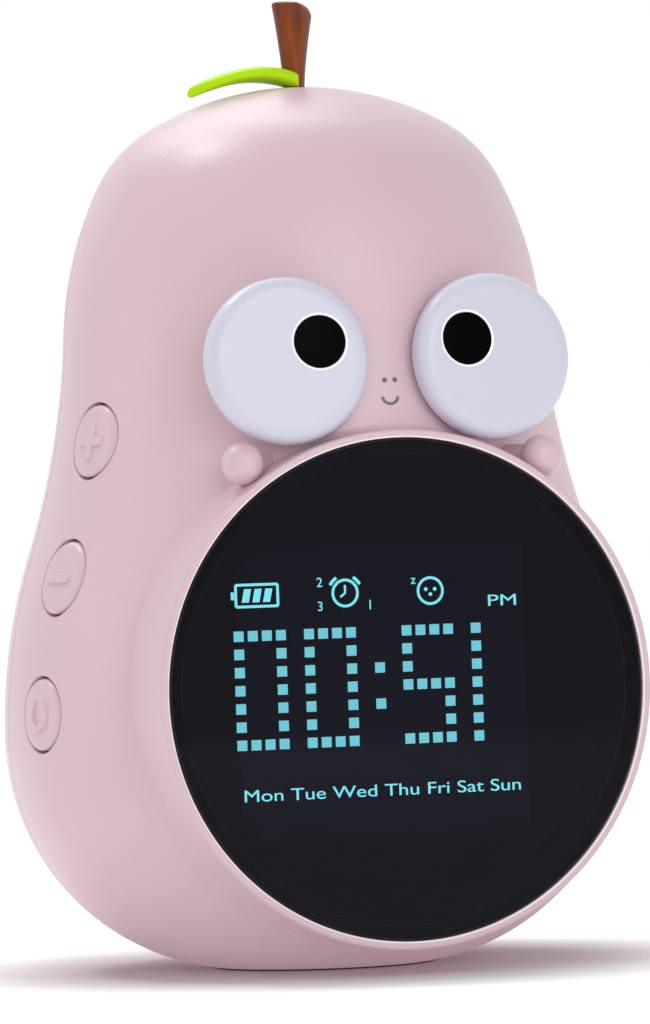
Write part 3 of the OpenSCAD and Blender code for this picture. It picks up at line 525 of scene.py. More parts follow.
# %% Finishes of the parts inside
inner_finishes = {
    "circuit_board": moulded("solder_mask", paint(28, 96, 58), 0.35, grain=0.0012, drift=0.3),
    "screws": moulded("zinc", paint(190, 190, 194), 0.32, grain=0.0003, drift=0.1, Metallic=1.0),
    "switch_metal": moulded("stamped_steel", paint(150, 150, 154), 0.4, grain=0.0005, Metallic=1.0),
    "board_plastic": moulded("board_plastic", paint(236, 234, 226), 0.5),
    "cone": moulded("cone_paper", paint(30, 30, 32), 0.8, grain=0.0008, depth=0.00003),
    "battery": moulded("cell_sleeve", paint(96, 136, 196), 0.35, grain=0.002, drift=0.1),
    "lead_white": moulded("white_insulation", paint(228, 228, 228), 0.5),
    "lead_red": moulded("red_insulation", paint(190, 40, 30), 0.5),
    "black_plastic": black_plastic,
    "rubber": dark_rubber,
    "shell": shell_plastic,
}
print("finishes inside:", len(inner_finishes))

# %% [markdown]
# The window is smoked acrylic: clear glass with a dark tint, polished, and frosted where its edge is
# cut. What glows behind it is a surface that gives light, so it is written as emission.

# %% Window and light finishes


def smoked(name, tint, gleam):
    """Polished dark glass: gleam is the share of its reflection that is left, and smears roughen it."""
    material = bpy.data.materials.new(name)
    material.use_nodes = True
    tree = material.node_tree
    shader = tree.nodes["Principled BSDF"]
    shader.inputs["Base Color"].default_value = tint
    shader.inputs["Transmission Weight"].default_value = 1.0
    shader.inputs["IOR"].default_value = 1.49
    shader.inputs["Specular Tint"].default_value = (gleam, gleam, 1.3 * gleam, 1)
    smear = noise_node(tree, 0.012, 3.0, 0.6)
    uneven = math_node(tree, "MULTIPLY", smear, 0.012)
    tree.links.new(uneven, shader.inputs["Roughness"])
    return material


def glowing(name, colour, strength, spot=0.0006, swing=0.12):
    """A lit surface whose light varies a little from place to place."""
    material = bpy.data.materials.new(name)
    material.use_nodes = True
    tree = material.node_tree
    shader = tree.nodes["Principled BSDF"]
    group = tree.nodes.new("ShaderNodeGroup")
    group.node_tree = GRAIN
    group.inputs["Colour"].default_value = colour
    group.inputs["Grain Size"].default_value = spot
    group.inputs["Drift"].default_value = swing
    shader.inputs["Base Color"].default_value = paint(12, 14, 18)
    shader.inputs["Roughness"].default_value = 0.5
    shader.inputs["Emission Strength"].default_value = strength
    tree.links.new(group.outputs["Colour"], shader.inputs["Emission Color"])
    return material


smoked_acrylic = smoked("smoked_acrylic", (0.1, 0.1, 0.12, 1), 0.22)
frosted_edge = moulded("frosted_edge", paint(34, 33, 36), 0.25, depth=0.000004)
lit_segment = glowing("lit_segment", paint(122, 214, 212), 8.6)
lit_icon = glowing("lit_icon", paint(130, 230, 225), 10.0)
panel_face = glowing("panel_face", paint(20, 20, 36), 2.2, spot=0.003, swing=0.1)
print("window finishes ready")

# %% [markdown]
# ## The front shell
#
# The front shell is the hard piece. It is half a pear, with a round collar pushed out of its belly
# for the window, and a soft hollow where the collar runs into the skin. Sculpting or remeshing would
# blur the crisp rim, so the shell is one wall section that is swept round the window's axis. At each
# angle the section starts in the window's pocket, goes over the rim, down the collar, through the
# hollow, along the pear's skin to the seam, round the tongue, and back along the inside of the wall.

# %% Sweep angles and rays
TURNS = 360
LENS_GAP, RIM_W, RIM_ROUND = 0.1, 1.4, 0.5
COLLAR_R = LENS_R + RIM_W
BORE_R = COLLAR_R - WALL
SEAT_R, SEAT_T, POCKET_D = LENS_R - 2.5, 1.8, 2.3
POCKET_R, CHAMFER = LENS_R + LENS_GAP, 0.26
HOLLOW_TOP, HOLLOW_SIDE, HOLLOW_LOW = 1.5, 0.35, 3.6
FLOOR_Z = 0.2
angle = np.linspace(0, 2 * math.pi, TURNS, endpoint=False)
spoke = np.stack([np.cos(angle), np.zeros(TURNS), np.sin(angle)], -1)
window_c = np.array([0.0, 0.0, DISPLAY_Z])


def round_window(radius, y):
    """A ring about the window's axis."""
    ring = window_c + spoke * np.reshape(radius, (-1, 1))
    ring[:, 1] = y
    return ring


def bisect(inside, low, high, rounds=44):
    """Where inside(value) changes from true to false, for arrays of values."""
    for _ in range(rounds):
        middle = (low + high) / 2
        within = inside(middle)
        low, high = np.where(within, middle, low), np.where(within, high, middle)
    return low


def cast(direction, inset):
    """Where rays from the window's axis at the origin's depth meet the skin."""

    def inside(length):
        p = window_c + direction * length[:, None]
        return (np.hypot(p[:, 0], p[:, 1]) < skin_r(p[:, 2], inset)) & (p[:, 2] > FLOOR_Z + inset)

    length = bisect(inside, np.zeros(TURNS), np.full(TURNS, 140.0))
    return window_c + direction * length[:, None]


def ring_at_y(y, inset):
    """The skin's outline in the plane at y."""

    def inside(radius):
        p = round_window(radius, y)
        return (np.hypot(p[:, 0], y) < skin_r(p[:, 2], inset)) & (p[:, 2] > FLOOR_Z + inset)

    return round_window(bisect(inside, np.zeros(TURNS), np.full(TURNS, 140.0)), y)


def rings_between(first, last, count, inset):
    """Rings over the skin from one ring to another, evenly spaced as seen from the middle."""

    def polar(ring):
        p = ring - window_c
        along = np.arctan2(np.hypot(p[:, 0], p[:, 2]), -p[:, 1])
        return along, np.unwrap(np.arctan2(p[:, 2], p[:, 0]))

    (a0, t0), (a1, t1) = polar(first), polar(last)
    t1 = t1 + 2 * math.pi * np.round((t0 - t1) / (2 * math.pi))
    rings = [first]
    for i in range(1, count):
        a, t = a0 + (a1 - a0) * i / count, t0 + (t1 - t0) * i / count
        rings.append(cast(np.stack([np.sin(a) * np.cos(t), -np.cos(a), np.sin(a) * np.sin(t)], -1), inset))
    return rings + [last]


print("rays from", window_c, "at", TURNS, "angles")

# %% [markdown]
# The hollow between the collar and the skin is what a rolling ball would leave: its centre runs along
# the skin moved outwards by the ball's radius, and the surface is the arc between where the ball
# touches the collar and where it touches the skin. The ball is smallest at the sides and grows
# towards the table, because the photograph shows a crisp line there and a broad soft band lower down.

# %% The rim, the collar and the hollow


def collar_rings():
    """Rings from the window's pocket over the rim and down into the skin."""
    edge = COLLAR_R - RIM_ROUND
    rings = [
        round_window(SEAT_R, DISPLAY_Y + POCKET_D + SEAT_T),
        round_window(SEAT_R, DISPLAY_Y + POCKET_D),
        round_window(POCKET_R, DISPLAY_Y + POCKET_D),
        round_window(POCKET_R, DISPLAY_Y + CHAMFER),
        round_window(POCKET_R + 0.03, DISPLAY_Y + CHAMFER / 2),
        round_window(POCKET_R + CHAMFER / 2, DISPLAY_Y + 0.03),
        round_window(POCKET_R + CHAMFER, DISPLAY_Y),
    ]
    for i in range(11):
        lean = math.pi / 2 * i / 10
        radius = edge + RIM_ROUND * math.sin(lean)
        rings.append(round_window(radius, DISPLAY_Y + RIM_ROUND * (1 - math.cos(lean))))
    high, low = np.clip(np.sin(angle), 0, 1), np.clip(-np.sin(angle), 0, 1)
    ball = HOLLOW_SIDE + (HOLLOW_TOP - HOLLOW_SIDE) * high**3 + (HOLLOW_LOW - HOLLOW_SIDE) * low**2
    centre = round_window(COLLAR_R + ball, 0.0)
    outer = np.array([skin_r(z, -r) for z, r in zip(centre[:, 2], ball)])
    centre[:, 1] = -np.sqrt(outer**2 - centre[:, 0] ** 2)
    to_skin = -np.stack([skin_normal(c, -r) for c, r in zip(centre, ball)])
    to_collar = -spoke
    wall_end = centre[:, 1]
    wall_start = DISPLAY_Y + RIM_ROUND
    for share in (0.25, 0.5, 0.75):
        rings.append(round_window(COLLAR_R, wall_start + (wall_end - wall_start) * share))
    sweep = np.arccos(np.clip((to_collar * to_skin).sum(1), -1, 1))[:, None]
    for i in range(13):
        share = i / 12
        toward = (np.sin((1 - share) * sweep) * to_collar + np.sin(share * sweep) * to_skin) / np.sin(sweep)
        rings.append(centre + toward * ball[:, None])
    return rings


collar = collar_rings()
hollow_end = round(float(collar[-1][TURNS // 4][1]), 1)
print("collar:", len(collar), "rings; at the top the hollow ends at y =", hollow_end)

# %% [markdown]
# With the collar done, the rest of the section follows the skin to the seam, and returns inside.

# %% The front wall
EDGE = 0.15


def front_wall():
    half = WALL / 2 + 0.1
    inner_end = round_window(BORE_R, 0.0)
    inner_end[:, 1] = -np.sqrt(skin_r(inner_end[:, 2], WALL) ** 2 - inner_end[:, 0] ** 2)
    rings = collar + rings_between(collar[-1], ring_at_y(SEAM_Y - EDGE, 0.0), 64, 0.0)[1:]
    rings += [ring_at_y(SEAM_Y, EDGE), ring_at_y(SEAM_Y, half), ring_at_y(SEAM_Y + TONGUE, half)]
    rings += rings_between(ring_at_y(SEAM_Y + TONGUE, WALL), inner_end, 20, WALL)
    rings.append(round_window(BORE_R, DISPLAY_Y + POCKET_D + SEAT_T))
    return mesh_from_rings("front_wall", rings, wrap=True)


front_mesh = front_wall()
print("front wall:", len(front_mesh.polygons), "faces")

# %% [markdown]
# The rest is carved as the mould does it: short necks for the eyes, a notch and a peg hole for each
# hand, three round guides on the left, and the round opening underneath. The places are frames whose
# Z looks out of the piece, so that the eyes and hands use the same ones.

# %% Places of the eyes, hands and buttons
EYE_X, EYE_Z, EYE_R, EYE_T, EYE_PROUD = 17.1, 96.3, 13.1, 3.6, 3.9
EYE_SPLAY, EYE_TILT, NECK_R, NECK_WALL = 4, 5, 8.5, 1.5
EYE_Y = float(skin_r(EYE_Z)) + EYE_PROUD
HAND_AT = np.array([24.8, 40.9, 80.3])
HAND_R, HAND_NECK_R, HAND_PEG_R, HAND_PEG_L = 3.3, 2.0, 1.5, 3.6
HAND_NOTCH, HAND_GAP = 0.6, 0.25
HAND_OUT = math.hypot(HAND_AT[0], HAND_AT[1])
HAND_SEAT = float(skin_r(HAND_AT[2])) - HAND_NOTCH
BUTTON_Y, BUTTON_Z, BUTTON_PITCH = (9.4, 10.5, 10.6), 42.2, 21.45
CAP_R, CAP_GAP, CAP_PROUD = 5.7, 0.42, 0.3
GUIDE_END_X = -20
BASE_R = (box_mm("base_cover")[1][0] - box_mm("base_cover")[0][0]) / 2
STEM_PEG_R = 1.4
FIT = 0.15


def turned(degrees, axis):
    return Matrix.Rotation(math.radians(degrees), 4, axis)


def eye_place(side):
    middle = Matrix.Translation((side * EYE_X, -EYE_Y, EYE_Z))
    return middle @ turned(side * EYE_SPLAY, "Z") @ turned(90 - EYE_TILT, "X")


def hand_place(side):
    lean = math.degrees(math.atan2(HAND_AT[0], HAND_AT[1]))
    return Matrix.Translation((0, 0, HAND_AT[2])) @ turned(side * lean, "Z") @ turned(90, "X")


def button_centre(i):
    return -BUTTON_Y[i], BUTTON_Z + i * BUTTON_PITCH


NECK_END = EYE_Y - beside("back", EYE_X + NECK_R + NECK_WALL, EYE_Z, WALL)[1] + 1
print("eyes are", round(EYE_Y, 1), "mm ahead of the axis, on necks of", round(float(NECK_END), 1), "mm")

# %% Carve the front shell


def rod(radius, low, high, place, steps=96):
    return lathe("rod", [(0, low), (radius, low), (radius, high), (0, high)], place, steps)


def carve_front(mesh):
    for side in (-1, 1):
        mesh = carve(mesh, rod(NECK_R + NECK_WALL, -NECK_END, -EYE_T - 0.3, eye_place(side)), "UNION")
    for side in (-1, 1):
        mesh = carve(mesh, rod(NECK_R + FIT, -NECK_END - 2, 5, eye_place(side)))
        mesh = carve(mesh, rod(HAND_PEG_R + 0.05, HAND_SEAT - 6, HAND_OUT, hand_place(side), 32))
        mesh = carve(mesh, rod(HAND_R + HAND_GAP, HAND_SEAT, HAND_OUT + 10, hand_place(side)))
    guide = CAP_R + CAP_GAP
    rows = hole_rows(guide, GUIDE_END_X, edge=0.22, over=0.05, flare=0.5, out=1.5)
    rows.insert(3, (guide + 0.05, 0.08, None))
    for i in range(3):
        mesh = carve(mesh, plug("guide", "left", button_centre(i), rows))
    upright = Matrix.Identity(4)
    mesh = carve(mesh, rod(BASE_R + FIT, -5, 12, upright, 180))
    return carve(mesh, rod(STEM_PEG_R, BODY_TOP - 8, BODY_TOP + 5, upright, 32))


front_mesh = carve_front(front_mesh)
print("front shell carved:", len(front_mesh.polygons), "faces")

# %% [markdown]
# Carving leaves long thin faces, and their averaged normals would show as dents in a satin surface.
# The skin's true normal is known everywhere, so it is written onto every corner that lies on the skin.
# The narrow chamfer round the window is polished, and it gets a near-white finish that gives off a little
# light: a painted highlight along the window's edge.

# %% True normals on the skin


def polish_skin(piece):
    """Gives each corner that lies on the pear's skin the skin's own normal."""
    mesh = piece.data
    corners = len(mesh.loops)
    vertex = np.empty(corners, np.int32)
    mesh.loops.foreach_get("vertex_index", vertex)
    place = np.empty(len(mesh.vertices) * 3)
    mesh.vertices.foreach_get("co", place)
    place = place.reshape(-1, 3)[vertex] / MM
    normal = np.empty(corners * 3)
    mesh.corner_normals.foreach_get("vector", normal)
    normal = normal.reshape(-1, 3)
    facing = np.empty(len(mesh.polygons) * 3)
    mesh.polygons.foreach_get("normal", facing)
    total = np.empty(len(mesh.polygons), np.int32)
    mesh.polygons.foreach_get("loop_total", total)
    facing = np.repeat(facing.reshape(-1, 3), total, axis=0)
    off = np.abs(np.hypot(place[:, 0], place[:, 1]) - skin_r(place[:, 2]))
    true = skin_normal(place)
    on_skin = (off < 0.01) & ((facing * true).sum(1) > 0.98)
    normal[on_skin] = true[on_skin]
    mesh.normals_split_custom_set([tuple(n) for n in normal])
    print(f"{piece.name}: {int(on_skin.sum())} of {corners} corners lie on the skin")


pinks = [shell_plastic, chamfer_painted_highlight]
front = make_piece("front_shell_moulding", front_mesh, "clock", pinks, ["front_shell"])
polish_skin(front)
# The chamfer's faces take the glowing finish: a painted highlight.
for face in front.data.polygons:
    from_axis = math.hypot(face.center[0], face.center[2] - DISPLAY_Z * MM) / MM
    if from_axis < POCKET_R + CHAMFER and face.center[1] / MM < DISPLAY_Y + CHAMFER:
        face.material_index = 1

# %% [markdown]
# ## The rear shell
#
# The rear shell closes the pear. It is swept round the same axis, from the seam to a pole at the back,
# outside and inside. Behind it come the speaker's holes, four deep screw wells and the charging inlet.

# %% The rear wall
SEAM_BACK = SEAM_Y + SEAM_GAP
NEAR_POLE = 0.004


def rear_wall():
    half = WALL / 2
    pole = np.array([[0.0, float(skin_r(DISPLAY_Z)), DISPLAY_Z]])
    inner_pole = pole - [[0, WALL, 0]]
    tilt = np.pi - NEAR_POLE

    def near_pole(inset):
        direction = np.sin(tilt) * spoke
        direction[:, 1] = -np.cos(tilt)
        return cast(direction, inset)

    rings = [pole] + rings_between(near_pole(0.0), ring_at_y(SEAM_BACK + EDGE, 0.0), 64, 0.0)
    rings += [ring_at_y(SEAM_BACK, EDGE), ring_at_y(SEAM_BACK, half)]
    rings += [ring_at_y(SEAM_BACK + TONGUE - 0.05, half)]
    rings += rings_between(ring_at_y(SEAM_BACK + TONGUE - 0.05, WALL), near_pole(WALL), 20, WALL)
    return mesh_from_rings("rear_wall", rings + [inner_pole])


rear_mesh = rear_wall()
print("rear wall:", len(rear_mesh.polygons), "faces")

# %% Carve the rear shell
GRILLE_Z, GRILLE_STEP, GRILLE_R, GRILLE_END_Y = 77.0, 3.0, 0.8, 30
SCREW_Z, SHANK_ENDS_Y, BOSS_INSET = (21.0, 111.0), (4, 20), 2.6
SCREW_BOSS_R, SCREW_WELL_R, SCREW_SHANK_R, SCREW_SEAT_Y = 3.4, 2.85, 1.5, 11.0
SOCKET_W, SOCKET_H, SOCKET_Z = 8.94, 3.2, 18.0
SOCKET_GAP, SOCKET_SINK, PLUG_MARGIN = 0.2, 1.1, 1.3
PAST_BACK_Y = 70.0


def screw_x(z):
    return float(beside("back", SEAM_Y, z, WALL)[1]) - SCREW_BOSS_R - BOSS_INSET


def grille_places():
    """The speaker's holes: one in the middle and three rings round it."""
    places = [(0.0, GRILLE_Z)]
    for ring in range(1, 4):
        for k in range(6 * ring):
            a = 2 * math.pi * k / (6 * ring)
            places.append((GRILLE_STEP * ring * math.cos(a), GRILLE_Z + GRILLE_STEP * ring * math.sin(a)))
    return places


def slot_tool(grow, deep):
    """A slot with round ends that goes straight in from the back to a flat floor at y = deep."""
    radius = SOCKET_H / 2 + grow
    half = (SOCKET_W - SOCKET_H) / 2
    turn = np.linspace(-math.pi / 2, math.pi / 2, 25)
    right = [(half + radius * math.cos(t), SOCKET_Z + radius * math.sin(t)) for t in turn]
    left = [(-x, 2 * SOCKET_Z - z) for x, z in right]
    rings = [[(x, y, z) for x, z in right + left] for y in (deep, PAST_BACK_Y)]
    middle = [[[0.0, y, SOCKET_Z]] for y in (deep, PAST_BACK_Y)]
    return mesh_from_rings("slot", [middle[0], rings[0], rings[1], middle[1]])


def carve_rear(mesh):
    boss = [(0, None, SEAM_BACK), (SCREW_BOSS_R, None, SEAM_BACK)]
    boss += [(SCREW_BOSS_R, WALL / 2, None), (0, WALL / 2, None)]
    well = hole_rows(SCREW_WELL_R, SCREW_SEAT_Y, edge=0.3, over=0.05, flare=1.2, out=2)
    tip, top = SHANK_ENDS_Y
    shank = [(0, None, tip), (SCREW_SHANK_R, None, tip), (SCREW_SHANK_R, None, top), (0, None, top)]
    for z in SCREW_Z:
        for side in (-1, 1):
            centre = (side * screw_x(z), z)
            mesh = carve(mesh, plug("boss", "back", centre, boss), "UNION")
            mesh = carve(mesh, plug("well", "back", centre, well))
            mesh = carve(mesh, plug("shank", "back", centre, shank, 32))
    sound_hole = hole_rows(GRILLE_R, GRILLE_END_Y, edge=0.14, over=0.03, flare=0.5, out=1)
    for centre in grille_places():
        mesh = carve(mesh, plug("sound_hole", "back", centre, sound_hole, 28))
    socket_y = float(beside("back", 0, SOCKET_Z)[1]) - SOCKET_SINK
    mesh = carve(mesh, slot_tool(PLUG_MARGIN, socket_y))
    mesh = carve(mesh, slot_tool(SOCKET_GAP, socket_y - 4))
    return carve(mesh, rod(BASE_R + FIT, -5, 12, Matrix.Identity(4), 180))


rear_mesh = carve_rear(rear_mesh)
rear = make_piece("rear_shell_moulding", rear_mesh, "clock", shell_plastic, ["rear_shell"])
polish_skin(rear)

# %% [markdown]
# ## The window
#
# The window is a flat disc of smoked acrylic with a cut and bevelled edge. The bevel is finely
# frosted, so it catches a thin line of light where it faces the lamps.

# %% The window
LENS_T = lens_high[1] - lens_low[1]
LENS_SINK = lens_low[1] - DISPLAY_Y
BEVEL = 0.34
window_place = Matrix.Translation((0, DISPLAY_Y, DISPLAY_Z)) @ turned(90, "X")


def window_mesh():
    top, low = -LENS_SINK, -LENS_SINK - LENS_T
    outline = [(0, low), (LENS_R - 0.1, low), (LENS_R, low + 0.1)]
    outline += [(LENS_R, top - BEVEL), (LENS_R - BEVEL, top)]
    outline += [(LENS_R * share, top) for share in (0.75, 0.5, 0.25, 0)]
    return lathe("window", outline, window_place, TURNS)


glass = [smoked_acrylic, frosted_edge]
window = make_piece("display_window", window_mesh(), "clock", glass, ["display_lens"], crisp=20)
for face in window.data.polygons:
    from_axis = math.hypot(face.center[0], face.center[2] - DISPLAY_Z * MM) / MM
    face.material_index = 1 if from_axis > LENS_R - BEVEL - 0.01 else 0

# %% [markdown]
# ## What the display shows
#
# The digits are lit squares on a regular grid, four columns wide and seven rows high. A pattern of
# marks is easier to read and to change than a list of places, so each character is drawn with hashes.
# The icons are strokes: a ribbon of even width laid along a short path.

# %% Lit squares
PANEL_Y = box_mm("display_panel")[0][1]
LIT_T = 0.06
GRID_X, GRID_Z = -23.7, 53.6
GRID_STEP_X, GRID_STEP_Z = 2.318, 2.83
SQUARE = 1.62
CHARACTERS = {
    "0": ["####", "#..#", "#..#", "#..#", "#..#", "#..#", "####"],
    "5": ["####", "#...", "#...", "####", "...#", "...#", "####"],
    "1": ["#", "#", "#", "#", "#", "#", "#"],
    ":": [".", ".", "#", ".", "#", ".", "."],
}
SHOWN_TIME = [("0", 0), ("0", 5), (":", 10), ("5", 12), ("1", 17)]


class Drawing:
    """Flat shapes with a little thickness on the panel's face, gathered into one mesh."""

    def __init__(self):
        self.points, self.faces = [], []

    def slab(self, outline):
        """A filled shape; outline is a convex list of (x, z)."""
        start, n = len(self.points), len(outline)
        for y in (PANEL_Y, PANEL_Y - LIT_T):
            self.points += [(x * MM, y * MM, z * MM) for x, z in outline]
        self.faces.append(tuple(range(start, start + n)))
        self.faces.append(tuple(range(start + n, start + 2 * n)))
        for k in range(n):
            m = (k + 1) % n
            self.faces.append((start + k, start + m, start + n + m, start + n + k))

    def stroke(self, path, width, closed=False):
        """A ribbon of even width along a path of (x, z)."""
        path = [np.array(p, float) for p in path]
        n = len(path)
        sides = []
        for k, here in enumerate(path):
            before = path[k - 1] if closed or k else here
            after = path[(k + 1) % n] if closed or k < n - 1 else here
            along = (after - before) / np.linalg.norm(after - before)
            across_it = np.array([-along[1], along[0]]) * width / 2
            sides.append((here + across_it, here - across_it))
        start = len(self.points)
        for left, right in sides:
            for x, z in (left, right):
                for y in (PANEL_Y, PANEL_Y - LIT_T):
                    self.points.append((x * MM, y * MM, z * MM))
        for k in range(n if closed else n - 1):
            a, b = start + 4 * k, start + 4 * ((k + 1) % n)
            for i, j in ((0, 1), (1, 3), (3, 2), (2, 0)):
                self.faces.append((a + i, a + j, b + j, b + i))
        if not closed:
            for a in (start, start + 4 * (n - 1)):
                self.faces.append((a, a + 1, a + 3, a + 2))

    def mesh(self, name):
        mesh = bpy.data.meshes.new(name)
        mesh.from_pydata(self.points, [], self.faces)
        outward(mesh)
        return mesh


def circle(centre, radius, steps=32, start=0.0, end=360.0):
    turn = np.radians(np.linspace(start, end, steps, endpoint=end - start < 360))
    return [(centre[0] + radius * math.cos(t), centre[1] + radius * math.sin(t)) for t in turn]


CORNERS = ((-1, -1), (1, -1), (1, 1), (-1, 1))


def square(centre, size):
    h = size / 2
    return [(centre[0] + a * h, centre[1] + b * h) for a, b in CORNERS]


digits = Drawing()
for character, first_column in SHOWN_TIME:
    for row, marks in enumerate(CHARACTERS[character]):
        for column, mark in enumerate(marks):
            if mark == "#":
                x = GRID_X + (first_column + column) * GRID_STEP_X
                digits.slab(square((x, GRID_Z - row * GRID_STEP_Z), SQUARE))
make_piece("lit_time", digits.mesh("lit_time"), "clock", lit_segment)

# %% [markdown]
# Above the time are a battery, an alarm clock with three alarm numbers, and a sleepy face.

# %% Lit icons
BATTERY_C, BATTERY_W, BATTERY_H = (-20.5, 59.9), 6.9, 3.4
ALARM_C, ALARM_R = (-5.9, 59.8), 2.05
FACE_C, FACE_R = (8.3, 59.7), 2.05
LINE = 0.42

icons = Drawing()
x0, x1 = BATTERY_C[0] - BATTERY_W / 2, BATTERY_C[0] + BATTERY_W / 2
z0, z1 = BATTERY_C[1] - BATTERY_H / 2, BATTERY_C[1] + BATTERY_H / 2
for start, end in (((x0, z0), (x1, z0)), ((x0, z1), (x1, z1)), ((x0, z0), (x0, z1)), ((x1, z0), (x1, z1))):
    icons.stroke([start, end], LINE)
icons.stroke([(x0 - 0.55, BATTERY_C[1] - 0.6), (x0 - 0.55, BATTERY_C[1] + 0.6)], 0.5)
for k in range(3):
    foot = x0 + 0.95 + 1.75 * k
    low, high = z0 + 0.65, z1 - 0.65
    icons.slab([(foot, low), (foot + 1.15, low), (foot + 1.6, high), (foot + 0.45, high)])
icons.stroke(circle(ALARM_C, ALARM_R), LINE, closed=True)
icons.stroke([(ALARM_C[0], ALARM_C[1] + 1.25), ALARM_C, (ALARM_C[0] - 0.8, ALARM_C[1] - 0.6)], 0.34)
for side in (-1, 1):
    icons.stroke(circle(ALARM_C, ALARM_R + 0.72, 7, 90 + side * 30, 90 + side * 62), 0.5)
icons.stroke(circle(FACE_C, FACE_R), LINE, closed=True)
for dot in ((-0.75, 0.25), (0.75, 0.25), (0.0, -0.55)):
    icons.slab(circle((FACE_C[0] + dot[0], FACE_C[1] + dot[1]), 0.3, 12))
make_piece("lit_icons", icons.mesh("lit_icons"), "clock", lit_icon)

# %% [markdown]
# The words are plain ones that any such clock has: the half of the day and the days of the week.
# Blender's own letters become meshes, stretched to the width that the row has.

# %% Lit words


def word(text, centre, height, width=None):
    """A word as mesh data on the panel: centre is (x, z) and height is that of a capital."""
    curve = bpy.data.curves.new("word", "FONT")
    curve.body = text
    curve.align_x = "CENTER"
    curve.extrude = LIT_T / 2
    item = bpy.data.objects.new("word", curve)
    scene.collection.objects.link(item)
    graph = bpy.context.evaluated_depsgraph_get()
    mesh = bpy.data.meshes.new_from_object(item.evaluated_get(graph))
    bpy.data.objects.remove(item)
    points = np.array([v.co for v in mesh.vertices])
    middle = (points.min(0) + points.max(0)) / 2
    capital = 0.73
    grow = height / capital
    stretch = width / (points[:, 0].max() - points[:, 0].min()) if width else grow
    x = (points[:, 0] - middle[0]) * stretch + centre[0]
    z = points[:, 1] * grow + centre[1] - height / 2
    y = PANEL_Y - LIT_T / 2 - points[:, 2]
    mesh.vertices.foreach_set("co", (np.stack([x, y, z], -1) * MM).ravel())
    return mesh


def join_meshes(name, meshes):
    work = bmesh.new()
    for mesh in meshes:
        work.from_mesh(mesh)
    bmesh.ops.remove_doubles(work, verts=work.verts, dist=1e-7)
    bmesh.ops.recalc_face_normals(work, faces=work.faces)
    mesh = bpy.data.meshes.new(name)
    work.to_mesh(mesh)
    work.free()
    return mesh


small_words = [
    word("PM", (20.3, 57.9), 1.85, 4.7),
    word("2", (ALARM_C[0] - 4.2, ALARM_C[1] + 1.85), 1.55),
    word("3", (ALARM_C[0] - 4.2, ALARM_C[1] - 1.9), 1.55),
    word("1", (ALARM_C[0] + 4.1, ALARM_C[1] - 1.9), 1.55),
    word("z", (FACE_C[0] - 2.8, FACE_C[1] + 1.9), 1.5),
]
make_piece("lit_words", join_meshes("lit_words", small_words), "clock", lit_icon)
week = word("Mon Tue Wed Thu Fri Sat Sun", (-0.6, 28.8), 1.95, 46.0)
make_piece("lit_weekdays", join_meshes("lit_weekdays", [week]), "clock", lit_icon)

# %% [markdown]
# ## The eyes
#
# Each eye is a milky disc on a neck that goes through the head to its lamp, with a black pupil let
# into its face. A lathe with a round edge makes the disc, and a shallow pocket takes the pupil.

# %% Eyes and pupils
EYE_ROUND, EYE_FACE_T, EYE_TUBE_WALL = 2.4, 1.8, 1.6
PUPIL_R, PUPIL_IN, PUPIL_UP, PUPIL_T, PUPIL_PROUD = 4.1, 4.9, 2.6, 0.8, 0.15
PUPIL_GAP, PUPIL_SINK = 0.06, 0.66


def pupil_place(side):
    return eye_place(side) @ Matrix.Translation((-side * PUPIL_IN, PUPIL_UP, 0))


def eye_mesh(side):
    cup = NECK_R - EYE_TUBE_WALL
    corners = [
        (0, -EYE_FACE_T, 0), (cup, -EYE_FACE_T, 0.3), (cup, -NECK_END, 0), (NECK_R, -NECK_END, 0),
        (NECK_R, -EYE_T, 0.2), (EYE_R, -EYE_T, 0.5), (EYE_R, 0, EYE_ROUND), (0, 0, 0),
    ]
    mesh = lathe("eye", rounded(corners, 10), eye_place(side), 200)
    wide = PUPIL_R + PUPIL_GAP
    corners = [(0, 1, 0), (PUPIL_R + 0.6, 1, 0), (PUPIL_R + 0.4, -0.01, 0), (wide, -0.1, 0.05)]
    pocket = rounded(corners + [(wide, -PUPIL_SINK, 0), (0, -PUPIL_SINK, 0)], 3)
    return carve(mesh, lathe("pocket", pocket, pupil_place(side), 120))


def pupil_mesh(side):
    back, front_z = PUPIL_PROUD - PUPIL_T, PUPIL_PROUD
    corners = [(0, back, 0), (PUPIL_R, back, 0.05), (PUPIL_R, front_z, 0.14), (0, front_z, 0)]
    return lathe("pupil", rounded(corners, 5), pupil_place(side), 120)


def paint_pocket_glow(eye, side):
    """Gives the pocket's rim a lighter milky finish that gives off light: a painted highlight round the
    pupil.
    """
    back = np.array(pupil_place(side).inverted())
    for face in eye.data.polygons:
        spot = put(back, np.array(face.center) / MM)
        if PUPIL_R < math.hypot(spot[0], spot[1]) < PUPIL_R + 0.42 and -0.6 < spot[2] < -0.005:
            face.material_index = 1


# The ring round each pupil pocket takes the glowing finish: a painted highlight, which also lights the
# pocket's shaded wall.
milky = [milky_plastic, milky_painted_glow]
for side, label in ((-1, "left"), (1, "right")):
    eye = make_piece(f"eye_{label}_disc", eye_mesh(side), "clock", milky, [f"eye_{label}"])
    paint_pocket_glow(eye, side)
    inlay = pupil_mesh(side)
    make_piece(f"pupil_{label}_inlay", inlay, "clock", pupil_plastic, [f"pupil_{label}"])

# %% [markdown]
# ## The hands
#
# A hand is a ball on a short neck. Its peg goes through the shell, and a shallow notch in the collar's
# shoulder takes the ball. One lathe makes it, and the other hand is the same piece on the other side.

# %% Hands


def hand_mesh(side):
    root = HAND_SEAT - HAND_PEG_L
    outline = [(0, root), (HAND_PEG_R, root), (HAND_PEG_R, HAND_SEAT), (HAND_NECK_R, HAND_SEAT)]
    first = -math.acos(HAND_NECK_R / HAND_R)
    for i in range(33):
        lean = first + (math.pi / 2 - first) * i / 32
        outline.append((HAND_R * math.cos(lean), HAND_OUT + HAND_R * math.sin(lean)))
    return lathe("hand", outline, hand_place(side), 96)


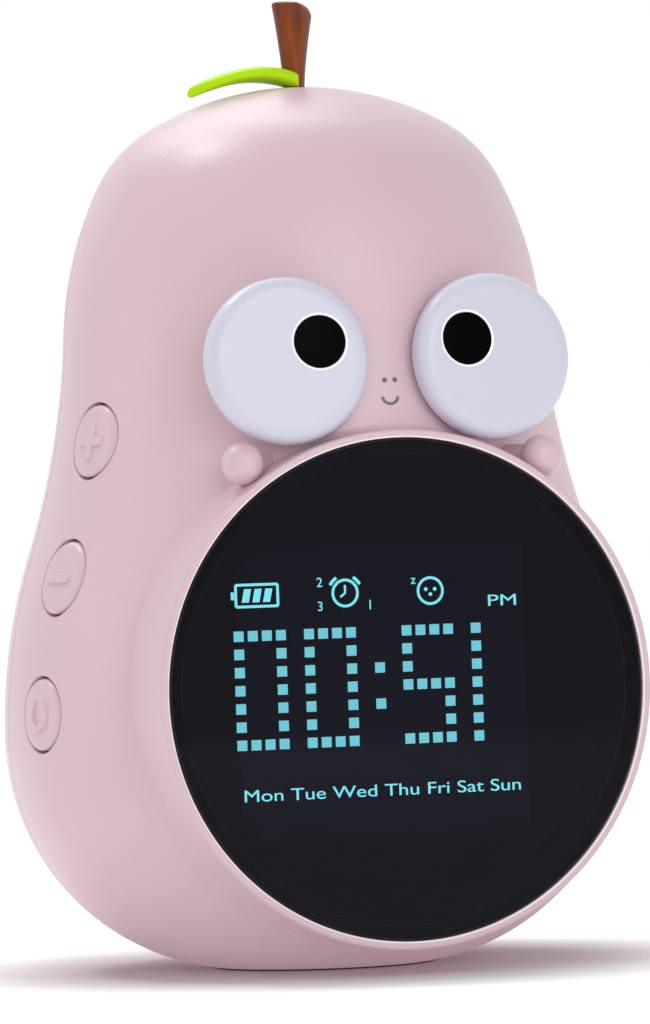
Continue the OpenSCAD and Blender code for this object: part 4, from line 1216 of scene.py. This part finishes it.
for side, label in ((-1, "left"), (1, "right")):
    make_piece(f"hand_{label}_knob", hand_mesh(side), "clock", shell_plastic, [f"hand_{label}"])

# %% [markdown]
# ## The stem
#
# The stem is a tapered peg with a slanted, softly rounded end. The taper, the slant and the softness
# all change round the stem, so its rings are built directly and not turned on a lathe.

# %% Stem
STEM_R, STEM_H = (1.7, 3.15), float((cad_high[2] / MM) - BODY_TOP)
STEM_SLANT = 2.5


def stem_mesh():
    turn = np.linspace(0, 2 * math.pi, 96, endpoint=False)

    def ring(radius, z):
        return np.stack([radius * np.cos(turn), radius * np.sin(turn), z + 0 * turn], -1)

    flat = 1 + 0.03 * np.cos(4 * turn)
    soft = 1.4 + 0.9 * np.cos(turn)
    top = BODY_TOP + STEM_H - math.tan(math.radians(STEM_SLANT)) * STEM_R[1] * (1 + np.cos(turn))
    rings = [[[0, 0, BODY_TOP - WALL]], ring(STEM_PEG_R, BODY_TOP - WALL), ring(STEM_PEG_R, BODY_TOP)]
    for i in range(25):
        share = i / 24
        radius = (STEM_R[0] + (STEM_R[1] - STEM_R[0]) * share**1.4) * flat
        rings.append(ring(radius, BODY_TOP + (top - soft - BODY_TOP) * share))
    for i in range(1, 11):
        lean = math.pi / 2 * i / 10
        radius = STEM_R[1] * flat - soft * (1 - math.cos(lean))
        rings.append(ring(radius, top - soft + soft * math.sin(lean)))
    rings.append([[0, 0, float(top.mean())]])
    return mesh_from_rings("stem", rings)


make_piece("stem_peg", stem_mesh(), "clock", stem_plastic, ["stem"])

# %% [markdown]
# ## The leaf
#
# The leaf is a thick arched blade. It starts round the stem, clears the crown and droops to its tip.
# Its outline is two arcs that meet in points, its section is a flattened oval with a shallow groove
# for the middle vein, and its underside never goes below the crown.

# %% Leaf
LEAF_L, LEAF_W, LEAF_T, LEAF_RISE, LEAF_DROOP = 18.2, 8.0, (2.8, 1.9), 1.3, 2.3
LEAF_Z, LEAF_ROOT = BODY_TOP + 1.05, 4.0


def leaf_mesh():
    stations, count = 48, 48
    turn = np.linspace(0, 2 * math.pi, count, endpoint=False)
    whole = LEAF_L + LEAF_ROOT
    bulge = (whole**2 + LEAF_W**2) / (4 * LEAF_W)
    rings = []
    for i in range(stations + 1):
        f = (1 - math.cos(math.pi * i / stations)) / 2
        x = -LEAF_L * f
        half = math.sqrt(bulge**2 - (x + LEAF_L - whole / 2) ** 2) - (bulge - LEAF_W / 2)
        half = max(half, 0.02)
        thick = LEAF_T[0] + (LEAF_T[1] - LEAF_T[0]) * f
        back = LEAF_T[0] / 2 + LEAF_RISE * math.sin(math.pi * f**0.85) - LEAF_DROOP * f * f
        end = min(1.0, math.sqrt(max(1 - (1 - min((1 - f) / 0.05, 1)) ** 2, 0)))
        y = half * np.sign(np.cos(turn)) * np.abs(np.cos(turn)) ** 0.8
        rise = thick / 2 * end * np.sign(np.sin(turn)) * np.abs(np.sin(turn)) ** 0.7
        vein = 0.18 * np.exp(-((y / 0.5) ** 2)) * (rise > 0)
        crown = crown_c[1] + np.sqrt(CROWN_R**2 - x * x - y * y) + 0.15
        z = np.maximum(LEAF_Z + back - thick / 2 + rise - vein, crown)
        rings.append(np.stack([np.full(count, x), y, z], -1))
    first, last = rings[0].mean(0, keepdims=True), rings[-1].mean(0, keepdims=True)
    return mesh_from_rings("leaf", [first] + rings + [last])


make_piece("leaf_blade", leaf_mesh(), "clock", leaf_plastic, ["leaf"])

# %% [markdown]
# ## The buttons
#
# A button's cap is a disc whose face continues the curve of the body, a little proud of it, with a
# round edge and a raised sign. Because the face is part of the skin moved outwards, the plug function
# makes it directly. Each cap rides on its own body, so that it can be pressed.

# %% Button caps
CAP_EDGE, CAP_T = 0.9, 3.2


def cap_mesh(i):
    centre = button_centre(i)
    back = float(beside("left", *centre)[0]) + CAP_T
    rows = [(0, None, back), (CAP_R, None, back)]
    for k in range(7):
        lean = math.pi / 2 * k / 6
        radius = CAP_R - CAP_EDGE * (1 - math.cos(lean))
        rows.append((radius, CAP_EDGE * (1 - math.sin(lean)) - CAP_PROUD, None))
    rows += [(CAP_R * share, -CAP_PROUD, None) for share in (0.75, 0.6, 0.45, 0.3, 0.12, 0)]
    return plug("cap", "left", centre, rows, 128)


# %% [markdown]
# A sign is a raised plate. Its outline is drawn once, moved in a little for the top edge, and laid on
# the skin at two heights: the sunk foot and the raised face.

# %% Raised signs
SIGN_H, SIGN_L, SIGN_W = 0.4, 5.8, 1.5


def soften(outline, radius=0.28):
    """A closed outline with small round corners."""
    wrapped = [outline[-1]] + outline + [outline[0]]
    loop = []
    for before, here, after in zip(wrapped, wrapped[1:], wrapped[2:]):
        part = rounded([(*before, 0), (*here, radius), (*after, 0)], 3)
        loop += part[1:-1]
    return np.array(loop)


def inward(loop, distance):
    """The outline moved in, for an outline that turns anticlockwise."""
    along = np.roll(loop, -1, 0) - np.roll(loop, 1, 0)
    along /= np.linalg.norm(along, axis=1, keepdims=True)
    return loop + np.stack([-along[:, 1], along[:, 0]], -1) * distance


def raised(side, middle, loop, foot, face):
    """A plate laid on the skin: loop is an anticlockwise outline, foot and face are its two heights."""
    rise = face - foot
    levels = [(loop, -foot), (loop, -face + 0.25 * rise)]
    levels += [(inward(loop, 0.03), -face + 0.03 * rise), (inward(loop, 0.1), -face)]
    points, n = [], len(loop)
    for line, inset in levels:
        spot = np.array(middle) + line
        points += list(beside(side, spot[:, 0], spot[:, 1], inset))
    work = bmesh.new()
    verts = [work.verts.new(p * MM) for p in points]
    for level in range(len(levels) - 1):
        for k in range(n):
            a, b = level * n + k, level * n + (k + 1) % n
            work.faces.new((verts[a], verts[b], verts[b + n], verts[a + n]))
    ends = [work.faces.new(verts[:n]), work.faces.new(verts[-n:])]
    work.normal_update()
    bmesh.ops.triangulate(work, faces=ends)
    bmesh.ops.recalc_face_normals(work, faces=work.faces)
    mesh = bpy.data.meshes.new("plate")
    work.to_mesh(mesh)
    work.free()
    return mesh


def bar_outline(length, width):
    return soften([(a * length / 2, b * width / 2) for a, b in CORNERS])


def plus_outline():
    """Four arms: the three corners of one arm, turned a quarter each time."""
    half, end = SIGN_W / 2, SIGN_L / 2
    corners, one_arm = [], [(half, -half), (end, -half), (end, half)]
    for _ in range(4):
        corners += one_arm
        one_arm = [(-z, y) for y, z in one_arm]
    return soften(corners)


def open_ring_outline(radius, width, opening):
    """A ring with a gap at its top."""
    turn = math.pi / 2 + np.linspace(opening / 2, 2 * math.pi - opening / 2, 48)
    around = np.stack([np.cos(turn), np.sin(turn)], -1)
    return np.concatenate([(radius + width / 2) * around, (radius - width / 2) * around[::-1]])


SIGNS = {
    "plus": (2, plus_outline()),
    "minus": (1, bar_outline(SIGN_L, SIGN_W)),
    "mode": (0, open_ring_outline(0.37 * SIGN_L, 0.8 * SIGN_W, 1.0)),
}
for label, (i, outline) in SIGNS.items():
    body = f"{label}_button"
    make_piece(f"button_{label}_cap", cap_mesh(i), body, shell_plastic, [f"button_{label}"])
    sign = raised("left", button_centre(i), outline, CAP_PROUD - 0.15, CAP_PROUD + SIGN_H)
    make_piece(f"button_{label}_sign", sign, body, shell_plastic)

# %% [markdown]
# Between the eyes, two dots and a small arc are printed on the head. The same function lays them on
# the skin, only much thinner.

# %% Face print
PRINT_T, PRINT_ROOT = 0.05, -0.1
DOT_R, DOT_X, DOT_Z = 0.42, (-0.5, 1.2), 92.8
SMILE_AT, SMILE_SIZE = (0.2, 89.6), (2.6, 1.1, 0.5)


def smile_outline(width, drop, weight):
    """An arc that sags by drop over its width, as a closed anticlockwise outline."""
    radius = (width**2 / 4 + drop**2) / (2 * drop)
    reach = math.asin(width / 2 / radius)
    turn = np.linspace(-math.pi / 2 - reach, -math.pi / 2 + reach, 24)
    arc = np.stack([np.cos(turn), np.sin(turn)], -1)
    centre = np.array([0.0, radius - drop / 2])
    outer, inner = radius + weight / 2, radius - weight / 2
    return np.concatenate([centre + arc * outer, (centre + arc * inner)[::-1]])


dot = np.array(circle((0, 0), DOT_R, 20))
prints = [raised("front", (x, DOT_Z), dot, PRINT_ROOT, PRINT_T) for x in DOT_X]
prints.append(raised("front", SMILE_AT, smile_outline(*SMILE_SIZE), PRINT_ROOT, PRINT_T))
make_piece("face_print", join_meshes("face_print", prints), "clock", face_ink)

# %% [markdown]
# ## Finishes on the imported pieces
#
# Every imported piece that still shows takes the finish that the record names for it.

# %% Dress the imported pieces
slot_of = {row["node"]: row["material_slot"] for row in frame["record"]["subparts"]}
inner_finishes["panel"] = panel_face
inner_finishes["diffuser"] = milky_plastic
dressed = 0
for node, item in frame["nodes"].items():
    finish = inner_finishes.get(slot_of[node])
    if finish is None or item.hide_render:
        continue
    item.data.materials.clear()
    item.data.materials.append(finish)
    dressed += 1
print("packed pieces dressed:", dressed)

# %% [markdown]
# ## The studio
#
# The photograph is a catalogue picture: a white ground, soft light from all round, and a soft shadow
# that stays close to the clock. The sky and the floor add their own white only for rays that come
# from the camera, a reflection or the glass, so the ground is white and the clock is still lit at a
# On the floor that white fades out near the clock, so the floor there shows its own warm grey: a painted
# shadow, laid under and round the real shadow.

# %% White surroundings
SKY_LEVEL = 0.48
# The near lift and the two fade radii make the painted shadow: within them the floor keeps its own warm
# grey.
FLOOR_LIFT_NEAR, FLOOR_LIFT_FAR = 0.0, 0.75
FLOOR_BOUNCE = 0.3
FADE_NEAR, FADE_FAR = 0.035, 0.085


def seen_directly(tree):
    """1 for camera, mirror and glass rays, and 0 for the rays that light the object."""
    path = tree.nodes.new("ShaderNodeLightPath")
    first = math_node(tree, "MAXIMUM", path.outputs["Is Camera Ray"], path.outputs["Is Glossy Ray"])
    return math_node(tree, "MAXIMUM", first, path.outputs["Is Transmission Ray"])


world = bpy.data.worlds.new("studio")
scene.world = world
world.use_nodes = True
sky = world.node_tree
background = sky.nodes["Background"]
background.inputs["Color"].default_value = (1, 1, 1, 1)
sky_light = math_node(sky, "MULTIPLY_ADD", seen_directly(sky), 1 - SKY_LEVEL, SKY_LEVEL)
sky.links.new(sky_light, background.inputs["Strength"])


def floor_material():
    material = bpy.data.materials.new("studio_floor")
    material.use_nodes = True
    tree = material.node_tree
    shader = tree.nodes["Principled BSDF"]
    shader.inputs["Base Color"].default_value = (0.68, 0.645, 0.64, 1)
    shader.inputs["Roughness"].default_value = 0.9
    shader.inputs["Specular IOR Level"].default_value = 0.0
    shader.inputs["Emission Color"].default_value = (1, 1, 1, 1)
    place = tree.nodes.new("ShaderNodeTexCoord")
    away = tree.nodes.new("ShaderNodeVectorMath")
    away.operation = "LENGTH"
    tree.links.new(place.outputs["Object"], away.inputs[0])
    fade = tree.nodes.new("ShaderNodeMapRange")
    fade.interpolation_type = "SMOOTHSTEP"
    fade.inputs["From Min"].default_value = FADE_NEAR
    fade.inputs["From Max"].default_value = FADE_FAR
    fade.inputs["To Min"].default_value = FLOOR_LIFT_NEAR - FLOOR_BOUNCE
    fade.inputs["To Max"].default_value = FLOOR_LIFT_FAR - FLOOR_BOUNCE
    tree.links.new(away.outputs["Value"], fade.inputs["Value"])
    lift = math_node(tree, "MULTIPLY_ADD", seen_directly(tree), fade.outputs["Result"], FLOOR_BOUNCE)
    tree.links.new(lift, shader.inputs["Emission Strength"])
    return material


FLOOR_HALF = 4.0
floor_mesh = bpy.data.meshes.new("studio_floor")
floor_corners = [(a * FLOOR_HALF, b * FLOOR_HALF, 0) for a, b in CORNERS]
floor_mesh.from_pydata(floor_corners, [], [(0, 1, 2, 3)])
floor_mesh.materials.append(floor_material())
floor = bpy.data.objects.new("studio_floor", floor_mesh)
scene.collection.objects.link(floor)
floor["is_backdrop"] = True
print("sky level", SKY_LEVEL, " floor lift", FLOOR_LIFT_NEAR, "to", FLOOR_LIFT_FAR)

# %% [markdown]
# Four soft boxes light the clock. The key lamp stands high on the left and is small, so it leaves the
# pale highlight on the head. A broad one above and behind throws the shadow forward, a weak one on
# the left lifts the buttons' side, and a broad one in front fills the face.

# %% Lamps


def soft_lamp(name, place, aim, size, power):
    """A square soft box at a place in m that looks at aim."""
    lamp = bpy.data.objects.new(name, bpy.data.lights.new(name, "AREA"))
    lamp.data.size = size
    lamp.data.energy = power
    lamp.location = place
    lamp.rotation_mode = "QUATERNION"
    lamp.rotation_quaternion = (Vector(aim) - Vector(place)).to_track_quat("-Z", "Y")
    scene.collection.objects.link(lamp)
    print(f"{name}: {power} W from {tuple(place)}")


soft_lamp("key_lamp", (-0.46, 0.32, 1.08), (0, 0, 0.1), 0.16, 2.2)
soft_lamp("back_lamp", (-0.05, 0.7, 1.1), (0, 0, 0.0), 0.8, 4.5)
soft_lamp("side_lamp", (-1.1, 0.4, 0.3), (0, 0, 0.06), 0.5, 0.6)
soft_lamp("fill_lamp", (0.0, -1.25, 0.5), (0, 0, 0.08), 0.8, 4.1)

# %% [markdown]
# ## Finish
#
# The last cell measures the two boxes, of the imported model and of the dressed one, and prints how much
# the dressed one has grown.

# %% Measure and finish
low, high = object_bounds()
edges = zip([*cad_low, *high], [*low, *cad_high])
print("grown in mm:", [round((a - b) / MM, 2) for a, b in edges])
